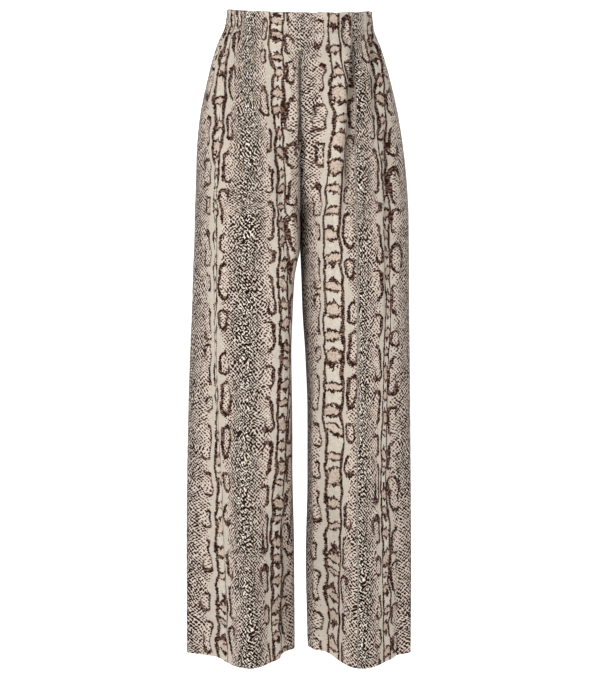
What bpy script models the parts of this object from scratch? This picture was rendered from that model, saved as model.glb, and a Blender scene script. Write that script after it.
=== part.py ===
"""Wide-leg palazzo pants with an elastic waist, standing open as if filled by a wearer.

Metres, +Z up. The front faces -Y and the wearer's left leg is at +X. The origin is the middle
of the waist, halfway up the waistband. Each cut piece is one closed wall of cloth: it runs
through level rows, and each row is a stretch of the garment's section at that height.
"""

import bmesh
import bpy
import numpy as np

# ---------------------------------------------------------------- driving sizes
WALL = 0.0015
SEAM_GAP = 0.0003
BAND_HEIGHT = 0.030
BAND_TOP = BAND_HEIGHT / 2
BAND_BOTTOM = -BAND_HEIGHT / 2
CROTCH_LEVEL = -0.324
HEM_LEVEL = -1.056

WAIST_DIP = 0.016        # the waist's front edge sits this much lower than its sides
WAIST_RISE = 0.006       # and its back edge this much higher
WAIST_HALF_DEPTH = 0.088
WAIST_ROLL = 0.014       # slope of the waist from the wearer's right side down to the left
WAIST_SHIFT_ENDS = -0.25  # below this height the rows are level again
HEM_DROP = 0.0105         # each leg's foremost and rearmost cloth hangs this much lower at the hem

# The garment's outline and depth, one row for each height. "out" and "in" are the distances of
# a leg's outer and inner edges from the middle, "front" and "back" the depths of its foremost
# and rearmost lines, "side" the depth of its side seam, and "fork_front" and "fork_back" the
# depths of the seams at the middle, which are one inseam from the crotch down.
LEVEL_COLUMNS = (
    "height", "right_out", "left_out", "right_in", "left_in",
    "front", "back", "side", "fork_front", "fork_back",
)
LEVELS = (
    (0.015, 0.1200, 0.1190, 0.0, 0.0, -0.086, 0.088, 0.000, -0.086, 0.088),
    (-0.015, 0.1245, 0.1220, 0.0, 0.0, -0.090, 0.092, 0.000, -0.090, 0.092),
    (-0.040, 0.1350, 0.1310, 0.0, 0.0, -0.096, 0.100, 0.000, -0.096, 0.100),
    (-0.065, 0.1440, 0.1400, 0.0, 0.0, -0.101, 0.107, 0.000, -0.101, 0.106),
    (-0.115, 0.1570, 0.1540, 0.0, 0.0, -0.108, 0.119, 0.000, -0.107, 0.117),
    (-0.165, 0.1670, 0.1645, 0.0, 0.0, -0.112, 0.126, 0.000, -0.106, 0.122),
    (-0.215, 0.1718, 0.1720, 0.0, 0.0, -0.113, 0.128, 0.000, -0.094, 0.118),
    (-0.265, 0.1736, 0.1775, 0.0, 0.0, -0.113, 0.127, 0.000, -0.070, 0.100),
    (-0.300, 0.1748, 0.1798, 0.0, 0.0, -0.112, 0.125, -0.001, -0.038, 0.066),
    (-0.324, 0.1754, 0.1806, 0.0, 0.0, -0.112, 0.123, -0.002, 0.010, 0.010),
    (-0.350, 0.1760, 0.1812, -0.0010, 0.0014, -0.111, 0.121, -0.003, 0.011, 0.011),
    (-0.384, 0.1770, 0.1818, 0.0001, 0.0004, -0.110, 0.118, -0.004, 0.012, 0.012),
    (-0.402, 0.1780, 0.1820, 0.0040, 0.0011, -0.109, 0.117, -0.005, 0.013, 0.013),
    (-0.430, 0.1790, 0.1822, 0.0090, 0.0022, -0.109, 0.116, -0.006, 0.013, 0.013),
    (-0.480, 0.1805, 0.1824, 0.0120, 0.0038, -0.107, 0.113, -0.008, 0.014, 0.014),
    (-0.560, 0.1840, 0.1834, 0.0145, 0.0090, -0.105, 0.111, -0.011, 0.015, 0.015),
    (-0.660, 0.1870, 0.1845, 0.0140, 0.0125, -0.103, 0.109, -0.015, 0.016, 0.016),
    (-0.760, 0.1892, 0.1855, 0.0125, 0.0126, -0.101, 0.107, -0.019, 0.017, 0.017),
    (-0.900, 0.1905, 0.1868, 0.0095, 0.0095, -0.099, 0.105, -0.025, 0.018, 0.018),
    (-1.056, 0.1903, 0.1865, 0.0085, 0.0125, -0.101, 0.103, -0.030, 0.020, 0.020),
)

# Each leg: its side of the middle, where its front and back lines hang at the waist and at the
# hem, and how square its section is beside the front fork (2 is round).
LEGS = {
    "right": dict(sign=-1, front_line=(0.088, 0.082), back_line=(0.075, 0.095), fork_square=4.5),
    "left": dict(sign=1, front_line=(0.090, 0.101), back_line=(0.075, 0.095), fork_square=2.0),
}
BACK_FORK_SQUARE = 2.4

# Towards the hem a leg's front gathers into one rounded flute between flatter stretches.
FLUTE_STARTS = -0.55
FRONT_FLUTE = dict(share=0.78, half_width=0.056)
BACK_FLUTE = dict(share=0.45, half_width=0.062)
FLUTE_FOOT = 0.08            # how gently a flute runs out into the flatter cloth beside it

# The hips' section is one oval; the two legs' lobes grow out of it over this stretch.
LOBES_START = -0.10
LOBES_FULL = -0.31

# Hanging folds. "x" is the distance from the middle at the fold's top and bottom, a positive
# "depth" is a ridge and a negative one a trough, and the widths are towards the middle and the
# side. The fades are how far below its top and above its bottom a fold reaches its full depth.
FOLD_COLUMNS = (
    "leg", "face", "top", "bottom", "x_top", "x_bottom",
    "inner_width", "outer_width", "depth", "fade_top", "fade_bottom",
)
FOLDS = (
    # wearer's right front: a trough from the waist to the crotch, and soft ridges beside it
    ("right", "front", -0.020, -0.470, 0.052, 0.014, 0.008, 0.013, -0.0085, 0.12, 0.22),
    ("right", "front", -0.120, -0.420, 0.029, 0.010, 0.009, 0.009, 0.0060, 0.08, 0.12),
    ("right", "front", -0.020, -0.240, 0.116, 0.120, 0.011, 0.011, -0.0035, 0.04, 0.14),
    ("right", "front", -0.100, -0.620, 0.137, 0.140, 0.014, 0.014, 0.0030, 0.12, 0.25),
    ("right", "front", -0.700, -1.100, 0.150, 0.152, 0.016, 0.014, 0.0045, 0.18, 0.02),
    # wearer's left front: two deep pleats let out of the elastic, and the folds under them
    ("left", "front", -0.018, -0.440, 0.090, 0.062, 0.0065, 0.016, -0.0110, 0.03, 0.22),
    ("left", "front", -0.018, -0.430, 0.076, 0.048, 0.012, 0.009, 0.0050, 0.04, 0.22),
    ("left", "front", -0.018, -0.200, 0.119, 0.126, 0.0065, 0.013, -0.0070, 0.02, 0.07),
    ("left", "front", -0.130, -0.660, 0.141, 0.146, 0.007, 0.013, -0.0070, 0.08, 0.34),
    ("left", "front", -0.060, -0.300, 0.030, 0.032, 0.010, 0.012, -0.0022, 0.06, 0.12),
    ("left", "front", -0.760, -1.100, 0.150, 0.152, 0.014, 0.012, 0.0040, 0.16, 0.02),
    # backs: folds that fall from the elastic past the seat
    ("right", "back", -0.018, -0.420, 0.036, 0.030, 0.010, 0.014, -0.0055, 0.03, 0.24),
    ("right", "back", -0.018, -0.560, 0.078, 0.090, 0.013, 0.013, -0.0060, 0.03, 0.34),
    ("right", "back", -0.018, -0.300, 0.108, 0.128, 0.009, 0.012, -0.0050, 0.03, 0.16),
    ("right", "back", -0.360, -1.000, 0.140, 0.150, 0.015, 0.014, 0.0045, 0.20, 0.20),
    ("left", "back", -0.018, -0.360, 0.030, 0.026, 0.010, 0.013, -0.0050, 0.03, 0.20),
    ("left", "back", -0.018, -0.480, 0.062, 0.070, 0.012, 0.014, -0.0060, 0.03, 0.26),
    ("left", "back", -0.018, -0.340, 0.098, 0.118, 0.010, 0.012, -0.0060, 0.03, 0.18),
    ("left", "back", -0.420, -1.040, 0.134, 0.144, 0.014, 0.016, 0.0050, 0.20, 0.16),
)
FOLD_CLEAR_OF_SEAM = 0.012   # folds die away this near to a seam at the middle or an inseam

# Gathers made by the elastic: waves along each quarter of the waist, from the middle of the
# front to the side seam and on to the middle of the back. The wobble and the swell make them
# uneven in width and in depth, and the lean sets the two legs' waves apart.
GATHERS_PER_QUARTER = 12
GATHER_WOBBLE, WOBBLES_PER_QUARTER = 0.32, 1.3
GATHER_SWELL, SWELLS_PER_QUARTER = 0.25, 2.6
GATHER_LEAN = {"right": -0.25, "left": 0.35}
GATHER_IN_BAND = 0.0009
GATHER_BELOW_BAND = 0.0022
GATHER_PEAK_LEVEL = -0.032
GATHER_REACH = -0.125        # the waves have died away at this height
GATHERS_CLEAR_OF_BACK = 0.08
# The first stretch of a front quarter lies nearly smooth: the waves there have this share of
# their depth, and reach the whole of it between these two places along the quarter.
QUIET_SHARE = {"right": 0.16, "left": 0.10}
QUIET_FRONT = {"right": (0.42, 0.95), "left": (0.36, 0.62)}

# Rows of the legs' walls. The fine rows have twice the points of the plain ones.
FINE_ROWS = (-0.0153, -0.030, -0.048, -0.072, -0.100, -0.130)
PLAIN_ROWS = (
    -0.165, -0.200, -0.235, -0.265, -0.288, -0.307, CROTCH_LEVEL, -0.350, -0.384, -0.402,
    -0.430, -0.475, -0.540, -0.620, -0.700, -0.780, -0.855, -0.920, -0.975, -1.020, HEM_LEVEL,
)
PLAIN_POINTS = 24
FINE_POINTS = 2 * PLAIN_POINTS
BAND_ROWS = (BAND_TOP, 0.0, BAND_BOTTOM)
CROWDING = 2.0               # how much closer the points stand where a fold is

SECTION_POINTS = 400         # the points of a section that a wall's own points are read from
EDGE_ANGLE = np.radians(50.0)
CLOTH_COLOUR = (0.33, 0.27, 0.23, 1.0)
CLOTH_ROUGHNESS = 0.82
BAND_COLOUR = (0.36, 0.30, 0.25, 1.0)


# ---------------------------------------------------------------- small helpers
def column(name):
    return np.array([row[LEVEL_COLUMNS.index(name)] for row in LEVELS])


def at_level(name, height):
    """A column of LEVELS at any height, read along a smooth curve that never overshoots."""
    heights = -column("height")
    values = column(name)
    steps = np.diff(values) / np.diff(heights)
    slopes = np.concatenate(([steps[0]], np.zeros(len(steps) - 1), [steps[-1]]))
    same_way = steps[:-1] * steps[1:] > 0
    both = np.where(same_way, steps[:-1] + steps[1:], 1.0)
    slopes[1:-1] = np.where(same_way, 2 * steps[:-1] * steps[1:] / both, 0.0)
    place = min(max(-height, heights[0]), heights[-1])
    i = int(np.clip(np.searchsorted(heights, place) - 1, 0, len(steps) - 1))
    span = heights[i + 1] - heights[i]
    t = (place - heights[i]) / span
    return (
        values[i] * (1 + 2 * t) * (1 - t) ** 2
        + values[i + 1] * t * t * (3 - 2 * t)
        + span * (slopes[i] * t * (1 - t) ** 2 - slopes[i + 1] * t * t * (1 - t))
    )


def ease(value, start, end):
    """0 before start, 1 after end, and a smooth step between them."""
    t = np.clip((value - start) / (end - start), 0.0, 1.0)
    return t * t * (3 - 2 * t)


def mix(a, b, share):
    return a + (b - a) * share


def arc_length(x, y):
    return np.concatenate(([0.0], np.cumsum(np.hypot(np.diff(x), np.diff(y)))))


def outward_normals(x, y, face):
    """Unit normals of a section drawn from the middle outwards, pointing out of the garment."""
    along_x = np.gradient(x)
    along_y = np.gradient(y)
    length = np.hypot(along_x, along_y)
    turn = 1.0 if face == "front" else -1.0
    return turn * along_y / length, -turn * along_x / length


# ---------------------------------------------------------------- the section at one height
def lobe_form(x, inner, outer, line, square, lobes, flute, flute_share):
    """0 at a leg's edges and 1 at its foremost (or rearmost) line, at each x between.

    The fork's side runs in as a shallow valley while the lobes begin, and square on at full.
    """
    inside = x < line
    reach = np.where(inside, line - inner, outer - line)
    power = np.where(inside, mix(2.0, square, lobes), 2.0)
    root = np.where(inside, mix(1.0, 1.0 / square, lobes), 0.5)
    away = np.clip(np.abs(x - line) / reach, 0.0, 1.0)
    round_form = (1.0 - away**power) ** root
    hump = 1.0 - ((x - line) / flute["half_width"]) ** 2
    flute_form = (hump + np.sqrt(hump**2 + FLUTE_FOOT)) / (1.0 + np.sqrt(1.0 + FLUTE_FOOT))
    return mix(round_form, flute_form * round_form**0.25, flute_share)


def section(leg, face, height, inner_gap=SEAM_GAP / 2):
    """One quarter of the garment's section, from the middle (or inseam) out to the side seam.

    Gives x as a distance from the middle, y, the height of each point, and the distance
    along the section. Folds and gathers are in it.
    """
    shape = LEGS[leg]
    front = face == "front"
    outer = at_level(leg + "_out", height)
    inner = at_level(leg + "_in", height)
    if height >= CROTCH_LEVEL:
        inner = inner_gap
    line_ends = shape["front_line" if front else "back_line"]
    line = mix(line_ends[0], line_ends[1], ease(-height, 0.0, -HEM_LEVEL))
    depth = at_level(face, height)
    side = at_level("side", height)
    fork = at_level("fork_" + face, height)
    flute = FRONT_FLUTE if front else BACK_FLUTE
    flute_share = flute["share"] * ease(-height, -FLUTE_STARTS, -HEM_LEVEL)
    square = shape["fork_square"] if front else BACK_FORK_SQUARE

    lobes_share = ease(-height, -LOBES_START, -LOBES_FULL)
    turn = np.linspace(0.0, np.pi, SECTION_POINTS)
    x = inner + (outer - inner) * (1.0 - np.cos(turn)) / 2.0
    form = lobe_form(x, inner, outer, line, square, lobes_share, flute, flute_share)
    lobes = mix(np.where(x < line, fork, side), depth, form)
    oval = side + (depth - side) * np.sqrt(np.clip(1.0 - (x / outer) ** 2, 0.0, 1.0))
    y = mix(oval, lobes, lobes_share)

    distance = arc_length(x, y)
    lift = fold_lift(leg, face, height, x, distance)
    lift += gather_lift(leg, face, height, distance)
    normal_x, normal_y = outward_normals(x, y, face)
    x = x + normal_x * lift
    y = y + normal_y * lift
    z = height + waist_shift(height, shape["sign"] * x, y) + hem_shift(height, form)
    return x, y, z, arc_length(x, y)


def waist_shift(height, world_x, y):
    """The waist is tilted down at the front and a little down to the wearer's left."""
    share = ease(height, WAIST_SHIFT_ENDS, BAND_BOTTOM)
    tilt = np.where(y < 0, WAIST_DIP, WAIST_RISE) * y / WAIST_HALF_DEPTH
    return share * (tilt - WAIST_ROLL * world_x)


def hem_shift(height, form):
    share = ease(-height, -CROTCH_LEVEL, -HEM_LEVEL)
    return -HEM_DROP * share * form


def folds_of(leg, face):
    for values in FOLDS:
        fold = dict(zip(FOLD_COLUMNS, values))
        if fold["leg"] == leg and fold["face"] == face:
            yield fold


def fold_place(fold, height, x, distance):
    """How far along the section a fold's line is at this height, and how much of it is left."""
    down = (fold["top"] - height) / (fold["top"] - fold["bottom"])
    place = np.interp(mix(fold["x_top"], fold["x_bottom"], down), x, distance)
    strength = ease(fold["top"] - height, 0.0, fold["fade_top"])
    strength *= ease(height - fold["bottom"], 0.0, fold["fade_bottom"])
    return place, strength


def fold_lift(leg, face, height, x, distance):
    lift = np.zeros_like(x)
    for fold in folds_of(leg, face):
        place, strength = fold_place(fold, height, x, distance)
        off = distance - place
        width = np.where(off < 0, fold["inner_width"], fold["outer_width"])
        lift += fold["depth"] * strength * np.exp(-((off / width) ** 2))
    return lift * ease(distance, 0.0, FOLD_CLEAR_OF_SEAM)


def gather_lift(leg, face, height, distance):
    """The elastic's waves: slight in the band, strongest just below it, gone at the hips."""
    quarter = distance / distance[-1]
    if face == "back":
        quarter = 2.0 - quarter
    wave = np.sin(
        2 * np.pi * (
            GATHERS_PER_QUARTER * quarter
            + GATHER_WOBBLE * np.sin(2 * np.pi * WOBBLES_PER_QUARTER * quarter)
            + GATHER_LEAN[leg] * (2.0 - quarter)
        )
    )
    swell = 1.0 - GATHER_SWELL + GATHER_SWELL * np.sin(2 * np.pi * SWELLS_PER_QUARTER * quarter + 1.0)
    quiet = mix(QUIET_SHARE[leg], 1.0, ease(quarter, *QUIET_FRONT[leg]))
    let_out = ease(-height, -BAND_BOTTOM, -GATHER_PEAK_LEVEL)
    depth = mix(GATHER_IN_BAND, GATHER_BELOW_BAND, let_out)
    depth *= 1.0 - ease(-height, -GATHER_PEAK_LEVEL, -GATHER_REACH)
    depth *= ease(2.0 - quarter, 0.0, GATHERS_CLEAR_OF_BACK)
    return depth * wave * swell * quiet


# ---------------------------------------------------------------- walls
def stations(leg, face, height, count, first, last):
    """Distances along a section where the wall has its points: they crowd round each fold."""
    x, _, _, distance = section(leg, face, height)
    density = np.ones_like(distance)
    for fold in folds_of(leg, face):
        place, strength = fold_place(fold, height, x, distance)
        width = fold["inner_width"] + fold["outer_width"]
        density += CROWDING * strength * np.exp(-(((distance - place) / width) ** 2))
    total = arc_length(np.cumsum(density) * distance[-1] / len(distance), np.zeros_like(distance))
    even = np.linspace(0.0, total[-1], count + 1)
    places = np.interp(even, total, distance)
    return np.clip(places, first, distance[-1] - last)


def row_points(leg, face, height, count, inner_gap=SEAM_GAP / 2):
    """The outer and inner points of a wall along one row, from the middle out to the side."""
    x, y, z, distance = section(leg, face, height, inner_gap)
    first = 0.0 if height > CROTCH_LEVEL else SEAM_GAP / 2
    places = stations(leg, face, height, count, first, SEAM_GAP / 2)
    normal_x, normal_y = outward_normals(x, y, face)
    normal_x[-1], normal_y[-1] = 1.0, 0.0
    if height < CROTCH_LEVEL:
        normal_x[0], normal_y[0] = -1.0, 0.0
    sign = LEGS[leg]["sign"]
    outer = [np.interp(places, distance, values) for values in (x, y, z)]
    inner = [
        outer[0] - WALL * np.interp(places, distance, normal_x),
        outer[1] - WALL * np.interp(places, distance, normal_y),
        outer[2],
    ]
    inner[0] = np.maximum(inner[0], inner_gap) if height >= CROTCH_LEVEL else inner[0]
    return [np.stack((sign * px, py, pz), axis=1) for px, py, pz in (outer, inner)]


def wall_mesh(name, rows):
    """A closed wall through rows of (outer, inner) points, top row first.

    A row may have half the points of the row above it: those faces have five corners.
    """
    mesh = bmesh.new()
    outer, inner = ([[mesh.verts.new(p) for p in row[side]] for row in rows] for side in (0, 1))
    for above, below in zip(range(len(rows) - 1), range(1, len(rows))):
        for sheet in (outer, inner):
            skin(mesh, sheet[above], sheet[below])
        for end in (0, -1):
            mesh.faces.new((outer[above][end], inner[above][end], inner[below][end], outer[below][end]))
    for level in (0, -1):
        for i in range(len(outer[level]) - 1):
            mesh.faces.new((outer[level][i], outer[level][i + 1], inner[level][i + 1], inner[level][i]))
    bmesh.ops.recalc_face_normals(mesh, faces=mesh.faces)
    data = bpy.data.meshes.new(name)
    mesh.to_mesh(data)
    mesh.free()
    data.shade_smooth()
    data.set_sharp_from_angle(angle=EDGE_ANGLE)
    return data


def skin(mesh, above, below):
    step = (len(above) - 1) // (len(below) - 1)
    for i in range(len(below) - 1):
        top = above[i * step:(i + 1) * step + 1]
        mesh.faces.new((*top, below[i + 1], below[i]))


# ---------------------------------------------------------------- the pieces
def leg_piece(leg, face, material, waist):
    """A front or back leg, waist seam to hem, from the middle or inseam to the side seam."""
    rows = [row_points(leg, face, height, FINE_POINTS) for height in FINE_ROWS]
    rows += [row_points(leg, face, height, PLAIN_POINTS) for height in PLAIN_ROWS]
    sew_in(f"{face}_{leg}", rows, material, waist)


def waistband_piece(face, material, waist):
    """Half of the elastic casing, from the wearer's right side seam to the left one."""
    rows = []
    for height in BAND_ROWS:
        right = row_points("right", face, height, FINE_POINTS, inner_gap=0.0)
        left = row_points("left", face, height, FINE_POINTS, inner_gap=0.0)
        rows.append([np.concatenate((r[:0:-1], l)) for r, l in zip(right, left)])
    sew_in(f"waistband_{face}", rows, material, waist)


def sew_in(name, rows, material, waist):
    piece = bpy.data.objects.new(name, wall_mesh(name, rows))
    piece.data.materials.append(material)
    piece.parent = waist
    bpy.context.scene.collection.objects.link(piece)


def cloth_material(name, colour):
    material = bpy.data.materials.new(name)
    material.use_nodes = True
    shader = material.node_tree.nodes["Principled BSDF"]
    shader.inputs["Base Color"].default_value = colour
    shader.inputs["Roughness"].default_value = CLOTH_ROUGHNESS
    shader.inputs["Metallic"].default_value = 0.0
    return material


def main():
    for old in list(bpy.data.objects):
        bpy.data.objects.remove(old)
    waist = bpy.data.objects.new("waist", None)
    bpy.context.scene.collection.objects.link(waist)
    cloth = cloth_material("printed_cloth", CLOTH_COLOUR)
    casing = cloth_material("elastic_casing", BAND_COLOUR)
    for face in ("front", "back"):
        for leg in LEGS:
            leg_piece(leg, face, cloth, waist)
        waistband_piece(face, casing, waist)


main()
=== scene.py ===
# %% [markdown]
# # Palazzo pants in snakeskin-print crepe
#
# This lesson dresses a plain model of wide-leg, pull-on pants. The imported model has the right
# shape and size in six stiff walls: two fronts, two backs and two halves of the waistband.
# Each is covered here by thin, finely divided cloth with gathers, creases, a turned hem, an
# elastic casing and stitches. The print is mixed from nodes on the cloth's own coordinates,
# so it bends, gathers and breaks at the seams as a real print does.

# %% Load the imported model
import math

import bmesh
import bpy
import numpy as np
from mathutils import Matrix, Vector


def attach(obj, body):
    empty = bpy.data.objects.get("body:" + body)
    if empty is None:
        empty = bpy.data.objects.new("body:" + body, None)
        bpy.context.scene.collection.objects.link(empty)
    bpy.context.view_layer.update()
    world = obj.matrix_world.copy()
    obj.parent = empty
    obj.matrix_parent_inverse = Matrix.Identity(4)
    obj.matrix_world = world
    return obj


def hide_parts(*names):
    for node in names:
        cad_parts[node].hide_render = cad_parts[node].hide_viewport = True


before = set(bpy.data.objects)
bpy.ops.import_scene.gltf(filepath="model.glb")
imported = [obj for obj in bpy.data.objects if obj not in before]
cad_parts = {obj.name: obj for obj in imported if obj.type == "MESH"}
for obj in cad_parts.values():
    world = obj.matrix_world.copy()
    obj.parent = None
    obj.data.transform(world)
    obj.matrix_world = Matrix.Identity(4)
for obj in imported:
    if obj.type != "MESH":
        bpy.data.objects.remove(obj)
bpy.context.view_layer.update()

# %% [markdown]
# ## Camera, light and floor
#
# The garment is seen straight from the front, by a lens level with the top of the legs and
# tilted a little down. A long lens keeps its sides nearly parallel. One soft lamp from the upper
# left does most of the work, because light that crosses the folds is what shows them. Two
# weaker ones only mend what it leaves: the first looks in between the legs, which shade each
# other, and the second lifts the far side. One more stands behind and shows the folds of the
# back. An even grey world fills the rest. The floor is one sheet that curves up into a wall: a
# corner would draw a line behind the legs. It could be bent with a curve; here one edge of a
# folded strip is bevelled, which gives the same sweep from three points.

# %% Camera
PICTURE_HEIGHT = 1.137     # metres of garment from the picture's top to its bottom
CAMERA_PLACE = Vector((0.0, -2.80, -0.367))
CAMERA_TARGET = Vector((0.0, 0.0, -0.532))


def aimed(thing, place, target):
    """Puts a camera or lamp at a place and turns it to a target."""
    holder = bpy.data.objects.new(thing.name, thing)
    holder.location = place
    holder.rotation_euler = (target - place).to_track_quat("-Z", "Y").to_euler()
    bpy.context.scene.collection.objects.link(holder)
    return holder


lens = bpy.data.cameras.new("camera")
lens.sensor_fit = "VERTICAL"
lens.sensor_height = 36.0
lens.sensor_width = 36.0
lens.lens = lens.sensor_height * (CAMERA_TARGET - CAMERA_PLACE).length / PICTURE_HEIGHT
bpy.context.scene.camera = aimed(lens, CAMERA_PLACE, CAMERA_TARGET)
bpy.context.scene.view_settings.view_transform = "Standard"
print("lens", round(lens.lens, 1), "mm")

# %% Lights
WORLD_GREY = 0.30
LAMPS = {
    # name: (place, target, width, power in watts)
    "window_light": ((-1.45, -2.1, 1.05), (0.0, 0.0, 0.05), 1.3, 46.5),
    "fill_light": ((-0.95, -2.5, 0.45), (0.0, 0.0, -0.05), 1.4, 18.0),
    "side_light": ((2.4, -1.65, 0.3), (0.0, 0.0, -0.2), 1.4, 20.5),
    "back_light": ((1.5, 2.6, 0.9), (0.0, 0.0, -0.3), 1.3, 42.0),
}

world = bpy.data.worlds.new("studio")
world.use_nodes = True
sky = next(node for node in world.node_tree.nodes if node.type == "BACKGROUND")
sky.inputs["Color"].default_value = (1.0, 0.99, 0.985, 1.0)
sky.inputs["Strength"].default_value = WORLD_GREY
bpy.context.scene.world = world
for lamp_name, (place, target, width, power) in LAMPS.items():
    lamp = bpy.data.lights.new(lamp_name, "AREA")
    lamp.size = width
    lamp.energy = power
    aimed(lamp, Vector(place), Vector(target))
print("lamps:", ", ".join(LAMPS))

# %% Floor and wall
FLOOR_HEIGHT = -1.42
FLOOR_FRONT, WALL_DEPTH, WALL_TOP = -5.0, 5.2, 3.4
STAGE_WIDTH = 14.0
SWEEP_RADIUS, SWEEP_STEPS = 1.6, 24


def finished(name, mesh):
    """The bmesh as a smooth object in the scene, with its place in its mesh."""
    data = bpy.data.meshes.new(name)
    mesh.to_mesh(data)
    mesh.free()
    data.shade_smooth()
    piece = bpy.data.objects.new(name, data)
    bpy.context.scene.collection.objects.link(piece)
    return piece


def strip(corners, width):
    """A strip across the stage, pulled out sideways from a line of corners."""
    mesh = bmesh.new()
    points = [mesh.verts.new((-width / 2, y, z)) for y, z in corners]
    edges = [mesh.edges.new(pair) for pair in zip(points, points[1:])]
    pulled = bmesh.ops.extrude_edge_only(mesh, edges=edges)["geom"]
    moved = [part for part in pulled if isinstance(part, bmesh.types.BMVert)]
    bmesh.ops.translate(mesh, verts=moved, vec=(width, 0.0, 0.0))
    return mesh


floor_mesh = strip(
    ((FLOOR_FRONT, FLOOR_HEIGHT), (WALL_DEPTH, FLOOR_HEIGHT), (WALL_DEPTH, WALL_TOP)),
    STAGE_WIDTH,
)
corner = [e for e in floor_mesh.edges if len(e.link_faces) == 2]
bmesh.ops.bevel(
    floor_mesh, geom=corner, offset=SWEEP_RADIUS, segments=SWEEP_STEPS, profile=0.5,
    affect="EDGES", material=-1,
)
bmesh.ops.recalc_face_normals(floor_mesh, faces=floor_mesh.faces)
if floor_mesh.faces[0].normal.z < 0:
    bmesh.ops.reverse_faces(floor_mesh, faces=floor_mesh.faces)
floor = finished("floor", floor_mesh)

paper = bpy.data.materials.new("pale_paper")
paper.use_nodes = True
paper_shader = paper.node_tree.nodes["Principled BSDF"]
paper_shader.inputs["Base Color"].default_value = (0.88, 0.88, 0.88, 1.0)
paper_shader.inputs["Roughness"].default_value = 0.9
paper_shader.inputs["Emission Color"].default_value = (1.0, 1.0, 1.0, 1.0)
paper_shader.inputs["Emission Strength"].default_value = 0.62
floor.data.materials.append(paper)
print("floor", round(-FLOOR_HEIGHT, 2), "m below the waist")

# %% [markdown]
# ## The garment's sizes
#
# The solids hang on a section at each height, and the cloth has to follow them closely, so the
# same sizes are written out here. A section runs from the middle of the body, or from the
# inseam, out to the side seam. At the waist it is a quarter of an oval. At the hips a lobe for
# each leg grows out of the oval, and by the hem the front of each lobe has gathered into one
# rounded flute. The inner corners are a little squarer than the solids have them. The cloth
# could also be shrink-wrapped to the solids, but their faces are coarse, and the wrap would copy
# every facet.

# %% Sizes of the sections
BAND_TOP, BAND_BOTTOM = 0.015, -0.015
CROTCH_LEVEL, HEM_LEVEL = -0.324, -1.056
WAIST_DIP, WAIST_RISE, WAIST_HALF_DEPTH, WAIST_ROLL = 0.016, 0.006, 0.088, 0.014
WAIST_SHIFT_ENDS = -0.25
HEM_DROP = 0.0105
LEVEL_COLUMNS = (
    "height", "right_out", "left_out", "right_in", "left_in",
    "front", "back", "side", "fork_front", "fork_back",
)
LEVELS = (
    (0.015, 0.1200, 0.1190, 0.0, 0.0, -0.086, 0.088, 0.000, -0.086, 0.088),
    (-0.015, 0.1245, 0.1220, 0.0, 0.0, -0.090, 0.092, 0.000, -0.090, 0.092),
    (-0.040, 0.1350, 0.1310, 0.0, 0.0, -0.096, 0.100, 0.000, -0.096, 0.100),
    (-0.065, 0.1440, 0.1400, 0.0, 0.0, -0.101, 0.107, 0.000, -0.101, 0.106),
    (-0.115, 0.1570, 0.1540, 0.0, 0.0, -0.108, 0.119, 0.000, -0.107, 0.117),
    (-0.165, 0.1670, 0.1645, 0.0, 0.0, -0.112, 0.126, 0.000, -0.106, 0.122),
    (-0.215, 0.1718, 0.1720, 0.0, 0.0, -0.113, 0.128, 0.000, -0.094, 0.118),
    (-0.265, 0.1736, 0.1775, 0.0, 0.0, -0.113, 0.127, 0.000, -0.070, 0.100),
    (-0.300, 0.1748, 0.1798, 0.0, 0.0, -0.112, 0.125, -0.001, -0.038, 0.066),
    (-0.324, 0.1754, 0.1806, 0.0, 0.0, -0.112, 0.123, -0.002, 0.010, 0.010),
    (-0.350, 0.1760, 0.1812, -0.0010, 0.0014, -0.111, 0.121, -0.003, 0.011, 0.011),
    (-0.384, 0.1770, 0.1818, 0.0001, 0.0004, -0.110, 0.118, -0.004, 0.012, 0.012),
    (-0.402, 0.1780, 0.1820, 0.0040, 0.0011, -0.109, 0.117, -0.005, 0.013, 0.013),
    (-0.430, 0.1790, 0.1822, 0.0090, 0.0022, -0.109, 0.116, -0.006, 0.013, 0.013),
    (-0.480, 0.1805, 0.1824, 0.0120, 0.0038, -0.107, 0.113, -0.008, 0.014, 0.014),
    (-0.560, 0.1840, 0.1834, 0.0145, 0.0090, -0.105, 0.111, -0.011, 0.015, 0.015),
    (-0.660, 0.1870, 0.1845, 0.0140, 0.0125, -0.103, 0.109, -0.015, 0.016, 0.016),
    (-0.760, 0.1892, 0.1855, 0.0125, 0.0126, -0.101, 0.107, -0.019, 0.017, 0.017),
    (-0.900, 0.1905, 0.1868, 0.0095, 0.0095, -0.099, 0.105, -0.025, 0.018, 0.018),
    (-1.056, 0.1903, 0.1865, 0.0085, 0.0125, -0.101, 0.103, -0.030, 0.020, 0.020),
)
LEGS = {
    "right": dict(sign=-1, front_line=(0.088, 0.082), back_line=(0.075, 0.095), fork_square=6.0),
    "left": dict(sign=1, front_line=(0.090, 0.101), back_line=(0.075, 0.095), fork_square=2.7),
}
BACK_FORK_SQUARE = 2.4
FLUTE_STARTS = -0.55
FRONT_FLUTE = dict(share=0.78, half_width=0.056)
BACK_FLUTE = dict(share=0.45, half_width=0.062)
FLUTE_FOOT, FLUTE_EDGE = 0.08, 0.25
LOBES_START, LOBES_FULL = -0.10, -0.31
MIDDLE_GAP = 0.00005       # half the gap between the two legs' cloth at the middle
print(len(LEVELS), "levels from", LEVELS[0][0], "to", LEVELS[-1][0])

# %% [markdown]
# ## Folds, creases and gathers
#
# Folds hang from where the cloth is let out of the elastic and die away before the knee.
# The large ones are in the solids too. The creases under them are only in the cloth: they are
# shallower and run at their own angles, as cloth that has been worn keeps them. Every one has
# its own length, depth and width, because evenly spaced ones look combed. They could be
# simulated, but a simulation seldom puts a fold where it is wanted.

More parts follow.
